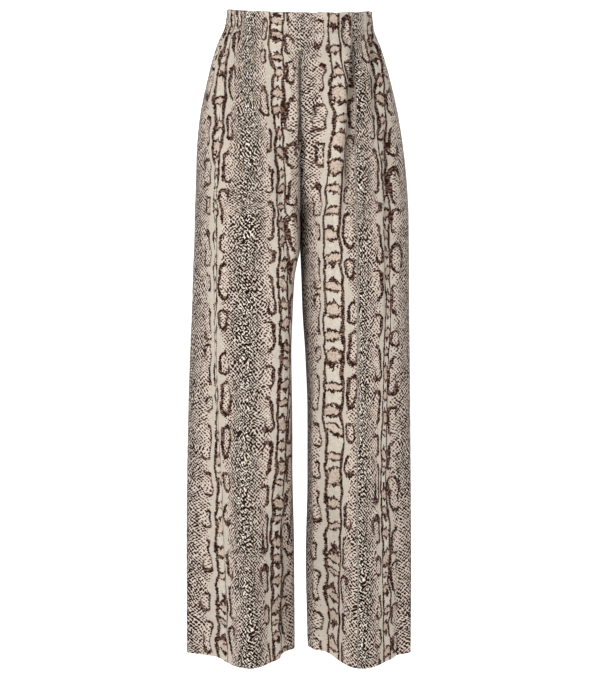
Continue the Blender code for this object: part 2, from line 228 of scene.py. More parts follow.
# %% Folds and creases
FOLD_COLUMNS = (
    "leg", "face", "top", "bottom", "x_top", "x_bottom",
    "inner_width", "outer_width", "depth", "fade_top", "fade_bottom",
)
FOLDS = (
    ("right", "front", -0.020, -0.470, 0.052, 0.014, 0.008, 0.013, -0.0085, 0.12, 0.22),
    ("right", "front", -0.120, -0.420, 0.029, 0.010, 0.009, 0.009, 0.0060, 0.12, 0.12),
    ("right", "front", -0.020, -0.240, 0.116, 0.120, 0.011, 0.011, -0.0035, 0.04, 0.14),
    ("right", "front", -0.100, -0.620, 0.137, 0.140, 0.014, 0.014, 0.0030, 0.12, 0.25),
    ("right", "front", -0.700, -1.100, 0.150, 0.152, 0.016, 0.014, 0.0045, 0.18, 0.02),
    ("left", "front", -0.018, -0.440, 0.090, 0.062, 0.0065, 0.016, -0.0110, 0.03, 0.22),
    ("left", "front", -0.018, -0.430, 0.076, 0.048, 0.012, 0.009, 0.0050, 0.04, 0.22),
    ("left", "front", -0.018, -0.200, 0.119, 0.126, 0.0065, 0.013, -0.0070, 0.02, 0.07),
    ("left", "front", -0.130, -0.660, 0.141, 0.146, 0.007, 0.013, -0.0070, 0.08, 0.34),
    ("left", "front", -0.060, -0.300, 0.030, 0.032, 0.010, 0.012, -0.0022, 0.06, 0.12),
    ("left", "front", -0.760, -1.100, 0.150, 0.152, 0.014, 0.012, 0.0040, 0.16, 0.02),
    ("right", "back", -0.018, -0.420, 0.036, 0.030, 0.010, 0.014, -0.0055, 0.03, 0.24),
    ("right", "back", -0.018, -0.560, 0.078, 0.090, 0.013, 0.013, -0.0060, 0.03, 0.34),
    ("right", "back", -0.018, -0.300, 0.108, 0.128, 0.009, 0.012, -0.0050, 0.03, 0.16),
    ("right", "back", -0.360, -1.000, 0.140, 0.150, 0.015, 0.014, 0.0045, 0.20, 0.20),
    ("left", "back", -0.018, -0.360, 0.030, 0.026, 0.010, 0.013, -0.0050, 0.03, 0.20),
    ("left", "back", -0.018, -0.480, 0.062, 0.070, 0.012, 0.014, -0.0060, 0.03, 0.26),
    ("left", "back", -0.018, -0.340, 0.098, 0.118, 0.010, 0.012, -0.0060, 0.03, 0.18),
    ("left", "back", -0.420, -1.040, 0.134, 0.144, 0.014, 0.016, 0.0050, 0.20, 0.16),
)
CREASES = (
    # fine falls below the front of the waist
    ("right", "front", -0.016, -0.150, 0.104, 0.110, 0.003, 0.004, -0.0011, 0.01, 0.09),
    ("right", "front", -0.030, -0.210, 0.124, 0.131, 0.004, 0.005, -0.0014, 0.02, 0.10),
    ("right", "front", -0.016, -0.120, 0.064, 0.070, 0.004, 0.005, -0.0007, 0.02, 0.07),
    ("right", "front", -0.140, -0.330, 0.060, 0.050, 0.005, 0.006, -0.0012, 0.06, 0.10),
    ("left", "front", -0.016, -0.110, 0.101, 0.106, 0.003, 0.004, -0.0016, 0.01, 0.06),
    ("left", "front", -0.016, -0.170, 0.108, 0.116, 0.003, 0.003, 0.0014, 0.01, 0.10),
    ("left", "front", -0.016, -0.085, 0.064, 0.061, 0.003, 0.004, -0.0009, 0.01, 0.05),
    ("left", "front", -0.120, -0.290, 0.100, 0.092, 0.005, 0.006, -0.0012, 0.05, 0.09),
    # sharp bottoms of the deep folds, where a strip of cloth is tucked away
    ("right", "front", -0.150, -0.640, 0.130, 0.137, 0.003, 0.003, -0.0020, 0.10, 0.10),
    ("right", "front", -0.540, -1.070, 0.137, 0.120, 0.003, 0.003, -0.0018, 0.10, 0.04),
    ("right", "front", -0.180, -0.470, 0.037, 0.014, 0.009, 0.005, -0.0058, 0.09, 0.12),
    ("left", "front", -0.020, -0.400, 0.0925, 0.0650, 0.0030, 0.008, -0.0085, 0.03, 0.16),
    ("left", "front", -0.018, -0.230, 0.1165, 0.1205, 0.0024, 0.006, -0.0038, 0.02, 0.10),
    ("left", "front", -0.400, -0.760, 0.0930, 0.0940, 0.003, 0.004, -0.0014, 0.12, 0.16),
    ("left", "front", -0.180, -0.620, 0.1440, 0.1410, 0.004, 0.006, -0.0024, 0.10, 0.20),
    # the shoulders that the legs' flutes leave beside the inseams
    ("left", "front", -0.520, -1.100, 0.025, 0.030, 0.010, 0.020, 0.0070, 0.20, 0.02),
    ("right", "front", -0.540, -1.100, 0.034, 0.040, 0.014, 0.020, 0.0060, 0.20, 0.02),
    # shallow pleats on the right hip
    ("right", "front", -0.050, -0.270, 0.112, 0.104, 0.004, 0.007, -0.0018, 0.05, 0.10),
    ("right", "front", -0.040, -0.330, 0.092, 0.086, 0.005, 0.008, -0.0015, 0.06, 0.14),
    # slack beside the crotch, pulled slantwise
    ("right", "front", -0.270, -0.360, 0.012, 0.055, 0.004, 0.006, -0.0013, 0.04, 0.04),
    ("left", "front", -0.262, -0.345, 0.014, 0.050, 0.004, 0.006, -0.0012, 0.04, 0.04),
    ("left", "front", -0.300, -0.420, 0.012, 0.040, 0.005, 0.006, -0.0010, 0.05, 0.05),
    # long soft breaks down the legs
    ("right", "front", -0.430, -0.700, 0.116, 0.124, 0.006, 0.008, -0.0012, 0.12, 0.12),
    ("right", "front", -0.560, -0.860, 0.040, 0.034, 0.006, 0.007, -0.0015, 0.12, 0.14),
    ("right", "front", -0.840, -1.060, 0.128, 0.134, 0.006, 0.006, -0.0014, 0.10, 0.03),
    ("right", "front", -0.900, -1.060, 0.056, 0.050, 0.005, 0.006, -0.0012, 0.08, 0.03),
    ("left", "front", -0.450, -0.760, 0.064, 0.070, 0.006, 0.008, -0.0012, 0.13, 0.13),
    ("left", "front", -0.600, -0.930, 0.128, 0.134, 0.006, 0.007, -0.0015, 0.12, 0.14),
    ("left", "front", -0.880, -1.060, 0.072, 0.064, 0.005, 0.006, -0.0012, 0.08, 0.03),
    # and on the backs
    ("right", "back", -0.016, -0.140, 0.056, 0.060, 0.003, 0.004, -0.0013, 0.01, 0.08),
    ("right", "back", -0.016, -0.190, 0.094, 0.106, 0.004, 0.004, -0.0015, 0.01, 0.10),
    ("right", "back", -0.290, -0.380, 0.014, 0.060, 0.004, 0.006, -0.0014, 0.04, 0.05),
    ("right", "back", -0.520, -0.840, 0.060, 0.068, 0.006, 0.008, -0.0014, 0.14, 0.14),
    ("right", "back", -0.820, -1.060, 0.120, 0.126, 0.006, 0.007, -0.0013, 0.12, 0.03),
    ("left", "back", -0.016, -0.120, 0.044, 0.048, 0.003, 0.004, -0.0012, 0.01, 0.07),
    ("left", "back", -0.016, -0.210, 0.080, 0.092, 0.004, 0.004, -0.0015, 0.01, 0.11),
    ("left", "back", -0.280, -0.390, 0.016, 0.058, 0.004, 0.006, -0.0014, 0.05, 0.05),
    ("left", "back", -0.480, -0.800, 0.112, 0.118, 0.006, 0.008, -0.0014, 0.14, 0.14),
    ("left", "back", -0.860, -1.060, 0.066, 0.060, 0.006, 0.007, -0.0013, 0.10, 0.03),
)
FOLD_CLEAR_OF_SEAM = 0.012
print(len(FOLDS), "folds and", len(CREASES), "creases")

# %% Gathers and seams
GATHERS_PER_QUARTER = 12
GATHER_WOBBLE, GATHER_WOBBLES = 0.32, 1.3        # how far off even, and how often in a quarter
GATHER_SWELL, GATHER_SWELLS = 0.25, 2.6          # how much lower the lowest are, and how often
GATHER_LEAN = {"right": -0.25, "left": 0.35}
GATHER_IN_BAND = 0.0009
GATHER_BELOW_BAND = 0.0022
GATHER_PEAK_LEVEL, GATHER_REACH = -0.032, -0.125
QUIET_FRONT = {"right": (0.42, 0.95), "left": (0.36, 0.62)}
QUIET_SHARE = {"right": 0.16, "left": 0.10}
QUIET_MIDDLE_BACK = 0.08
PUCKERS_PER_QUARTER = 31         # small puckers between the gathers, in the cloth alone
PUCKER_WOBBLE, PUCKER_WOBBLES = 0.4, 9.0
PUCKER_DEPTH = 0.00035
PUCKER_REACH = -0.060
SEAM_DIP, SEAM_HALF_WIDTH = 0.0007, 0.0022
SEAM_PUCKER, PUCKER_FROM_SEAM, PUCKER_HALF_WIDTH = 0.00025, 0.006, 0.005
SEAM_PULLS = ((0.5, 310.0, 0.0), (0.35, 173.0, 1.0))    # how strong, how often and from where
# above the crotch the front seam sinks: steeply on the right, gently on the left
RISE_DIP, RISE_HALF_WIDTH = 0.0095, {"right": 0.0026, "left": 0.0075}
RISE_TOP, RISE_FULL, RISE_ENDS = -0.030, -0.085, (-0.355, -0.315)
RISE_DEEPER, RISE_DEEPENS = 0.9, (0.16, 0.27)           # deeper by this share near the crotch
RISE_GROOVE, GROOVE_HALF_WIDTH = 0.0050, 0.0011         # and pinches in on its own line
BAND_SEAM_DIP, BAND_SEAM_HALF_WIDTH = 0.0004, 0.0022
TOP_WAVE = 0.0005                # how far the band's top edge ripples over the elastic
TOP_RIPPLES = ((1.0, 155.0, 1.0), (0.6, 331.0, 2.0))
TOP_RIPPLE_CLEAR = 0.01
SIDE_PULL, SIDE_PULL_WIDTH = 0.0018, 0.014              # the side seams hold it down
DRIFTS = (
    # height, waves across, how far and how often they sway on the way down, and two starts
    (0.00045, 41.0, 5.0, 6.1, 1.0, 1.0),
    (0.0008, 19.0, -3.0, 3.7, 2.0, 2.2),
)
DRIFT_STARTS, DRIFT_CLEAR_OF_SEAM = (0.05, 0.25), 0.03
print(4 * GATHERS_PER_QUARTER, "gathers round the waist")

# %% [markdown]
# ## From sizes to places
#
# These functions turn the sizes into places on the cloth. The heights between two levels are
# read along a smooth curve that doesn't overshoot, or the outline would ripple. Folds move the
# cloth along its own outward direction, so a deep one takes up real cloth, and the print that
# goes into it is hidden as it is in a real pleat.

# %% Reading the levels


def ease(value, start, end):
    """0 before start, 1 after end, and a smooth step between them."""
    t = np.clip((value - start) / (end - start), 0.0, 1.0)
    return t * t * (3 - 2 * t)


def mix(a, b, share):
    """The value that lies this share of the way from a to b."""
    return a + (b - a) * share


def arc_length(x, y):
    """Distance run at each point of a line."""
    return np.concatenate(([0.0], np.cumsum(np.hypot(np.diff(x), np.diff(y)))))


LEVEL_TABLE = {name: np.array(values) for name, values in zip(LEVEL_COLUMNS, zip(*LEVELS))}


def at_level(name, height):
    """One of the sections' sizes at any height."""
    heights, values = -LEVEL_TABLE["height"], LEVEL_TABLE[name]
    steps = np.diff(values) / np.diff(heights)
    same_way = steps[:-1] * steps[1:] > 0
    both = np.where(same_way, steps[:-1] + steps[1:], 1.0)
    inner_slopes = np.where(same_way, 2 * steps[:-1] * steps[1:] / both, 0.0)
    slopes = np.concatenate(([steps[0]], inner_slopes, [steps[-1]]))
    place = min(max(-height, heights[0]), heights[-1])
    i = int(np.clip(np.searchsorted(heights, place) - 1, 0, len(steps) - 1))
    span = heights[i + 1] - heights[i]
    t = (place - heights[i]) / span
    return (
        values[i] * (1 + 2 * t) * (1 - t) ** 2
        + values[i + 1] * t * t * (3 - 2 * t)
        + span * (slopes[i] * t * (1 - t) ** 2 - slopes[i + 1] * t * t * (1 - t))
    )


print("right leg's edge at the hips", round(at_level("right_out", -0.2), 4))

# %% The section at one height
SECTION_POINTS = 1500


def outward_normals(x, y, face):
    """The direction that points out of the cloth at each point of a section."""
    along_x, along_y = np.gradient(x), np.gradient(y)
    length = np.hypot(along_x, along_y)
    turn = 1.0 if face == "front" else -1.0
    return turn * along_y / length, -turn * along_x / length


def lobe_form(x, inner, outer, line, square, lobes, flute, flute_share):
    """0 at a leg's edges and 1 at its foremost (or rearmost) line."""
    inside = x < line
    reach = np.where(inside, line - inner, outer - line)
    power = np.where(inside, mix(2.0, square, lobes), 2.0)
    root = np.where(inside, mix(1.0, 1.0 / square, lobes), 0.5)
    away = np.clip(np.abs(x - line) / reach, 0.0, 1.0)
    round_form = (1.0 - away**power) ** root
    hump = 1.0 - ((x - line) / flute["half_width"]) ** 2
    flute_form = (hump + np.sqrt(hump**2 + FLUTE_FOOT)) / (1.0 + np.sqrt(1.0 + FLUTE_FOOT))
    return mix(round_form, flute_form * round_form**FLUTE_EDGE, flute_share)


def plain_section(leg, face, height):
    """x, y and form of a section without its folds, from the middle out to the side seam."""
    shape, front = LEGS[leg], face == "front"
    outer = at_level(leg + "_out", height)
    inner = MIDDLE_GAP if height >= CROTCH_LEVEL else at_level(leg + "_in", height)
    line_ends = shape["front_line" if front else "back_line"]
    line = mix(line_ends[0], line_ends[1], ease(-height, 0.0, -HEM_LEVEL))
    depth, side = at_level(face, height), at_level("side", height)
    fork = at_level("fork_" + face, height)
    flute = FRONT_FLUTE if front else BACK_FLUTE
    flute_share = flute["share"] * ease(-height, -FLUTE_STARTS, -HEM_LEVEL)
    square = shape["fork_square"] if front else BACK_FORK_SQUARE
    lobes_share = ease(-height, -LOBES_START, -LOBES_FULL)
    turn = np.linspace(0.0, np.pi, SECTION_POINTS)
    x = inner + (outer - inner) * (1.0 - np.cos(turn)) / 2.0
    form = lobe_form(x, inner, outer, line, square, lobes_share, flute, flute_share)
    lobes = mix(np.where(x < line, fork, side), depth, form)
    oval = side + (depth - side) * np.sqrt(np.clip(1.0 - (x / outer) ** 2, 0.0, 1.0))
    return x, mix(oval, lobes, lobes_share), form


# %% Lifts: folds, gathers and seams


def fold_lift(folds, leg, face, height, x, distance):
    """How far folds raise the cloth, or sink it, along one section."""
    lift = np.zeros_like(x)
    for values in folds:
        fold = dict(zip(FOLD_COLUMNS, values))
        if (fold["leg"], fold["face"]) != (leg, face):
            continue
        down = (fold["top"] - height) / (fold["top"] - fold["bottom"])
        place = np.interp(mix(fold["x_top"], fold["x_bottom"], down), x, distance)
        strength = ease(fold["top"] - height, 0.0, fold["fade_top"])
        strength *= ease(height - fold["bottom"], 0.0, fold["fade_bottom"])
        off = distance - place
        width = np.where(off < 0, fold["inner_width"], fold["outer_width"])
        lift += fold["depth"] * strength * np.exp(-((off / width) ** 2))
    return lift * ease(distance, 0.0, FOLD_CLEAR_OF_SEAM)


def gather_lift(leg, face, height, distance):
    """The elastic's waves: slight in the band, strongest just below it, gone at the hips."""
    quarter = distance / distance[-1]
    if face == "back":
        quarter = 2.0 - quarter
    wave = np.sin(
        2 * np.pi * (
            GATHERS_PER_QUARTER * quarter
            + GATHER_WOBBLE * np.sin(2 * np.pi * GATHER_WOBBLES * quarter)
            + GATHER_LEAN[leg] * (2.0 - quarter)
        )
    )
    swell = 1.0 - GATHER_SWELL * (1.0 - np.sin(2 * np.pi * GATHER_SWELLS * quarter + 1.0))
    quiet = mix(QUIET_SHARE[leg], 1.0, ease(quarter, *QUIET_FRONT[leg]))
    below = ease(-height, -BAND_BOTTOM, -GATHER_PEAK_LEVEL)
    depth = mix(GATHER_IN_BAND, GATHER_BELOW_BAND, below)
    depth *= 1.0 - ease(-height, -GATHER_PEAK_LEVEL, -GATHER_REACH)
    near_middle_back = ease(2.0 - quarter, 0.0, QUIET_MIDDLE_BACK)
    wobble = PUCKER_WOBBLE * np.sin(PUCKER_WOBBLES * quarter)
    pucker = np.sin(2 * np.pi * (PUCKERS_PER_QUARTER * quarter + wobble))
    pucker *= PUCKER_DEPTH * (1.0 - ease(-height, -BAND_BOTTOM, -PUCKER_REACH))
    return (depth * wave * swell + pucker) * quiet * near_middle_back


def seam_lift(leg, face, height, distance):
    """Cloth dips into the seams at both ends of a section, and puckers along them."""
    pull = 1.0 + sum(share * math.sin(height * often + start) for share, often, start in SEAM_PULLS)
    dip = np.zeros_like(distance)
    for off in (distance, distance[-1] - distance):
        dip += SEAM_DIP * np.exp(-((off / SEAM_HALF_WIDTH) ** 2))
        from_pucker = (off - PUCKER_FROM_SEAM) / PUCKER_HALF_WIDTH
        dip += SEAM_PUCKER * pull * np.exp(-(from_pucker**2))
    if face == "front":
        sunk = float(ease(-height, -RISE_TOP, -RISE_FULL) * ease(height, *RISE_ENDS))
        sunk *= 1.0 + RISE_DEEPER * float(ease(-height, *RISE_DEEPENS))
        dip += RISE_DIP * sunk * np.exp(-((distance / RISE_HALF_WIDTH[leg]) ** 2))
        dip += RISE_GROOVE * sunk * np.exp(-((distance / GROOVE_HALF_WIDTH) ** 2))
    across = (height - BAND_BOTTOM) / BAND_SEAM_HALF_WIDTH
    return -dip - BAND_SEAM_DIP * math.exp(-(across**2))


def top_edge_shift(height, distance, seed):
    """The band's top edge ripples, and dips at the side seams."""
    ripple = sum(
        share * np.sin(distance * often + start * seed) for share, often, start in TOP_RIPPLES
    )
    held = SIDE_PULL * np.exp(-(((distance[-1] - distance) / SIDE_PULL_WIDTH) ** 2))
    free = ease(distance, 0.0, TOP_RIPPLE_CLEAR)
    free *= ease(distance[-1] - distance, 0.0, TOP_RIPPLE_CLEAR)
    return ease(height, BAND_BOTTOM, BAND_TOP) * (TOP_WAVE * ripple * free - held)


def drift(height, distance, seed):
    """The slow unevenness of cloth that hangs free, under a millimetre high."""
    lift = np.zeros_like(distance)
    for depth, across, sway, down, first_start, second_start in DRIFTS:
        swayed = sway * math.sin(height * down + first_start * seed)
        lift += depth * np.sin(distance * across + swayed + second_start * seed)
    free = ease(-height, *DRIFT_STARTS) * ease(distance, 0.0, DRIFT_CLEAR_OF_SEAM)
    return lift * free * ease(distance[-1] - distance, 0.0, DRIFT_CLEAR_OF_SEAM)


# %% [markdown]
# ## The cloth's own coordinates
#
# A print lies on the cloth, not in the air, so each point needs to know where it was on the
# flat cut piece: how far across and how far down. On a front the stripes of the print hang at
# known places, which were read as columns and rows of a picture or, where none could be read,
# given in millimetres. Where two stripes hang closer together than they were printed, the
# elastic or a fold has taken up the cloth between them. Most of it is pushed together evenly,
# but one fold on each leg, marked t, tucks a strip of cloth out of sight.
# Where the section turns away at a side, the places are eased so that no print is pulled wide
# round the corner. On a back the grain line alone is placed, and the cloth is laid from there.
# Both distances are kept in metres as the UV map. All pieces are cut from one length of print,
# so each starts somewhere else in the repeat.

# %% Where the stripes hang
MILLIMETRES = 1000.0          # in one metre
STRIPE_PRINTED = {            # millimetres across the print, from the middle of its main saddle
    "a": -98.0, "b": -88.0, "c": -56.5, "d": -46.0, "e": 0.0,
    "f": 45.0, "g": 56.5, "h": 76.0, "i": 83.0,
}
PIXEL = 1.617                 # millimetres of the garment's front in a pixel of the picture
MIDDLE_COLUMN = 300           # where the garment's middle is in a picture of 600 by 678
MIDDLE_ROW, MIDDLE_ROW_HEIGHT = 339, -0.533


def picture_level(row):
    """The height, in metres, of one of the picture's rows."""
    return round(MIDDLE_ROW_HEIGHT - (row - MIDDLE_ROW) * PIXEL / MILLIMETRES, 3)


def spots(*columns):
    """How far from the middle, in millimetres, some of the picture's columns are."""
    return (round(abs(column - MIDDLE_COLUMN) * PIXEL, 1) for column in columns)


FRONT_STRIPES = {
    # leg: names of the stripes, then height in metres and their distances from the middle in mm
    "right": ("atdefghi", (
        (picture_level(15), 122.6, 107.5, *spots(238, 249, 267, 269.5, 283, 286)),
        (picture_level(48), 140.4, 122.0, *spots(232, 248, 265, 270, 282, 285)),
        (picture_level(88), 148.5, 128.0, *spots(230.5, 248.5, 268.5, 272, 281, 288)),
        (picture_level(130), 147.0, 132.0, *spots(228, 251, 270, 273.7, 282.5, 288)),
        (picture_level(190), 144.5, 136.5, 125.5, *spots(249, 273, 278, 285.5, 293)),
        (picture_level(290), 144.5, 137.0, 129.0, *spots(247, 273, 279.5, 288, 292)),
        (picture_level(350), 144.6, 137.0, 129.0, *spots(247, 274), 33.5, 16.0, 10.5),
        (-0.656, 144.5, 134.5, 127.5, 90.2, 45.0, 36.5, 16.0, 10.5),
        (-0.740, 145.5, 130.0, 124.5, 92.2, 49.0, 41.0, 20.2, 14.3),
        (picture_level(530), 147.0, 127.5, *spots(225, 243.5, 266, 270, 280.5, 285.5)),
        (picture_level(600), 147.5, 121.5, *spots(230, 247.5, 268, 270.7, 279.2, 282)),
        (picture_level(645), 147.5, 121.0, *spots(230.5, 247.5, 269, 272, 280.2, 282)),
    )),
    "left": ("abcdtefghi", (
        (picture_level(20), *spots(322.5, 328, 338.5, 343), 84.5,
            *spots(353.5, 365, 367.5, 372, 374)),
        (picture_level(48), *spots(323, 330, 341, 344), 85.4,
            *spots(354, 369.5, 371.5, 383.7, 387.5)),
        (picture_level(88), *spots(324.5, 332.5, 347, 350.5), 90.2,
            *spots(356.5, 372.5, 374.5, 385, 391)),
        (picture_level(130), *spots(325, 332.5, 346.5, 348.5), 89.1,
            *spots(356, 374.5, 377.5, 387, 393)),
        (picture_level(160), *spots(324.5, 328.5, 343.3, 344.5), 88.4,
            *spots(356, 376.5, 381, 387.5, 394)),
        (picture_level(220), *spots(320.5, 323.7, 339, 344), 91.8,
            *spots(358.5, 379, 385, 389.5, 392)),
        (picture_level(300), *spots(320.5, 325, 343, 349.5), 94.3,
            *spots(359.5, 381.8, 386, 390.3, 392)),
        (picture_level(415), *spots(319.5, 325, 343.5, 346.5), 94.4,
            *spots(360, 379.5, 382.5, 387.5, 390)),
        (picture_level(495), *spots(321, 327.8, 342, 346), 92.9,
            *spots(359, 379, 381.5, 387, 391)),
        (picture_level(560), *spots(318, 327.6, 340.5, 343.3), 94.5,
            *spots(360.5, 382.2, 384, 391, 394.7)),
        (picture_level(645), *spots(322, 329, 339.6, 342.5), 95.0,
            *spots(361, 382.2, 385, 392, 394.7)),
    )),
}
TUCK_WIDTH = 1.2
PRINT_STRETCH = 1.06          # cloth millimetres to one of the section, where nothing is hidden
TURNS = (0.025, 0.100)        # nearer the middle or the side than these, the section turns away
LEAST_PRINT = 0.78            # and this much of its cloth, or more, lies to each of its metres
SIDE_STRETCH = 0.76           # beyond the last stripe, where the side seam takes up the turn
SIDE_FULLNESS = 0.35          # more cloth than waist in the gathers there
FULLNESS_ENDS = -0.20
BACK_GRAIN_LINE = {"right": (0.070, 0.088), "left": (0.076, 0.090)}     # at waist and hips
BACK_FULLNESS = 0.30
CUT_ORIGIN = {
    # leg and face: where on the print the piece was cut, across and down, in metres
    ("right", "front"): (0.0, 0.0),
    ("left", "front"): (0.0, -0.087),
    ("right", "back"): (0.061, 0.133),
    ("left", "back"): (0.147, 0.262),
}


def stripe_marks(leg, height):
    """Distances from the middle and across the print, in millimetres, of stripes and tuck."""
    names, rows = FRONT_STRIPES[leg]
    table = np.array(rows)[::-1]
    hang = [float(np.interp(height, table[:, 0], column)) for column in table.T[1:]]
    fold = names.index("t")
    marks = [(place, STRIPE_PRINTED[name]) for place, name in zip(hang, names) if name != "t"]
    (before, printed_before), (after, printed_after) = marks[fold - 1:fold + 1]
    shown = min(PRINT_STRETCH, (printed_after - printed_before) / abs(after - before))
    half = math.copysign(TUCK_WIDTH / 2, after - before)
    marks.append((hang[fold] - half, printed_before + shown * abs(hang[fold] - before)))
    marks.append((hang[fold] + half, printed_after - shown * abs(after - hang[fold])))
    return np.array(sorted(marks)).T


def cloth_across(leg, face, height, x, distance):
    """Distance across the print, in metres, growing towards the right of whoever faces it."""
    seen_from = LEGS[leg]["sign"] * (1.0 if face == "front" else -1.0)
    gathered = 1.0 - ease(-height, 0.0, -FULLNESS_ENDS)
    if face == "front":
        hang, printed = stripe_marks(leg, height) / MILLIMETRES
        places = np.interp(hang, x, distance)
        places += np.maximum(hang - x[-1], 0.0)                # a stripe behind the side seam
        widest = np.abs(np.diff(printed)) / LEAST_PRINT
        for i in np.flatnonzero(hang[1:] > TURNS[1]) + 1:
            places[i] = min(places[i], places[i - 1] + widest[i - 1])
        for i in np.flatnonzero(hang[:-1] < TURNS[0])[::-1]:
            places[i] = max(places[i], places[i + 1] - widest[i])
        stretch = SIDE_STRETCH + SIDE_FULLNESS * gathered
    else:
        grain_x = mix(*BACK_GRAIN_LINE[leg], ease(-height, 0.0, -FULLNESS_ENDS))
        places = np.interp(np.array((grain_x, grain_x)), x, distance)
        printed = np.zeros(2)
        stretch = 1.0 + BACK_FULLNESS * gathered
    across = np.interp(distance, places, printed)
    across += seen_from * stretch * np.minimum(distance - places[0], 0.0)
    across += seen_from * stretch * np.maximum(distance - places[-1], 0.0)
    return across + CUT_ORIGIN[leg, face][0]


# %% Rows of places
SEAM_CROWDING = 0.55          # columns stand this much closer beside a seam
UPRIGHT_WIDTH = 0.004         # beside the middle the two legs' cloth moves straight out
SEEDS = {
    # leg and face: where the waves of the drift and the ripples start
    ("right", "front"): -1.7, ("left", "front"): 1.7, ("right", "back"): 1.4, ("left", "back"): 4.8,
}


def cloth_row(leg, face, height, columns, setback):
    """One row of a sheet: places (columns + 1, 3) and cloth coordinates (columns + 1, 2)."""
    x, y, form = plain_section(leg, face, height)
    distance = arc_length(x, y)
    seed = SEEDS[leg, face]
    lift = fold_lift(FOLDS + CREASES, leg, face, height, x, distance)
    lift += gather_lift(leg, face, height, distance) + seam_lift(leg, face, height, distance)
    lift += drift(height, distance, seed) - setback
    normal_x, normal_y = outward_normals(x, y, face)
    normal_x[-1], normal_y[-1] = 1.0, 0.0
    joined = height >= CROTCH_LEVEL
    if joined:
        normal_x = normal_x * ease(distance, 0.0, UPRIGHT_WIDTH)
    lifted_x = x + normal_x * lift
    lifted_y = y + normal_y * lift
    if joined:
        lifted_x = np.maximum(lifted_x, MIDDLE_GAP)
    sign = LEGS[leg]["sign"]
    z = height + waist_shift(height, sign * x, y) + hem_shift(height, form)
    z = z + top_edge_shift(height, distance, seed)
    lifted_distance = arc_length(lifted_x, lifted_y)
    even = np.linspace(0.0, 1.0, columns + 1)
    crowded = even - SEAM_CROWDING * np.sin(2 * np.pi * even) / (2 * np.pi)
    places = lifted_distance[-1] * crowded
    across = cloth_across(leg, face, height, lifted_x, lifted_distance)
    at = [np.interp(places, lifted_distance, v) for v in (sign * lifted_x, lifted_y, z, across)]
    down = np.full(columns + 1, height + CUT_ORIGIN[leg, face][1])
    return np.stack(at[:3], axis=1), np.stack((at[3], down), axis=1)


def waist_shift(height, world_x, y):
    """The waist dips in front, and lies lower on its left."""
    share = ease(height, WAIST_SHIFT_ENDS, BAND_BOTTOM)
    tilt = np.where(y < 0, WAIST_DIP, WAIST_RISE) * y / WAIST_HALF_DEPTH
    return share * (tilt - WAIST_ROLL * world_x)


def hem_shift(height, form):
    """The hems hang lower where the cloth stands furthest out."""
    return -HEM_DROP * ease(-height, -CROTCH_LEVEL, -HEM_LEVEL) * form


row_test, _ = cloth_row("left", "front", -0.2, 8, 0.0)
print("a row at the hips runs from", row_test[0].round(3), "to", row_test[-1].round(3))

# %% [markdown]
# ## Laying the sheets
#
# Each cut piece starts as a flat grid, like cloth on the cutting table, and every crossing of
# the grid is then laid at its place. A leg's last rows turn under at the hem and run back up
# inside. The waistband's rows run up the outside, over the top and down the inside, which makes
# the casing round the elastic. Solidify gives the cloth its thickness on the inner side.

# %% Paths down a leg and over the band
CLOTH_THICKNESS = 0.0005
LEG_ROW_STEP = 0.0042
HEM_TURN = 0.020
HEM_ROLL = 0.0007
HEM_ROLL_STEPS, HEM_INSIDE_ROWS = 6, 6
CASING_DEPTH = 0.0024
CASING_ROWS, CASING_ROLL_STEPS, CASING_INSIDE_ROWS = 14, 8, 9
PANEL_TOP = -0.0151


def leg_path():
    """(height, setback) of each row of a leg: down the outside, round the hem and up inside."""
    count = round((PANEL_TOP - HEM_LEVEL) / LEG_ROW_STEP)
    path = [(height, 0.0) for height in np.linspace(PANEL_TOP, HEM_LEVEL + HEM_ROLL, count)]
    path += [
        (HEM_LEVEL + HEM_ROLL * (1 - math.sin(t)), HEM_ROLL * (1 - math.cos(t)))
        for t in (math.pi * step / HEM_ROLL_STEPS for step in range(1, HEM_ROLL_STEPS + 1))
    ]
    inside = np.linspace(HEM_LEVEL + HEM_ROLL, HEM_LEVEL + HEM_TURN, HEM_INSIDE_ROWS)[1:]
    return path + [(height, 2 * HEM_ROLL + CLOTH_THICKNESS) for height in inside]


def casing_path():
    """The same for the band, from its seam up, over the top and down inside."""
    roll = CASING_DEPTH / 2
    start = BAND_TOP - roll
    up = [(height, 0.0) for height in np.linspace(BAND_BOTTOM, start, CASING_ROWS)]
    over = [
        (BAND_TOP - roll * (1 - math.sin(t)), roll * (1 - math.cos(t)))
        for t in (math.pi * step / CASING_ROLL_STEPS for step in range(1, CASING_ROLL_STEPS))
    ]
    inside = np.linspace(start, BAND_BOTTOM, CASING_INSIDE_ROWS)
    down = [(height, CASING_DEPTH) for height in inside]
    return up + over + down


print(len(leg_path()), "rows down a leg,", len(casing_path()), "over the band")

# %% The grid and its lay


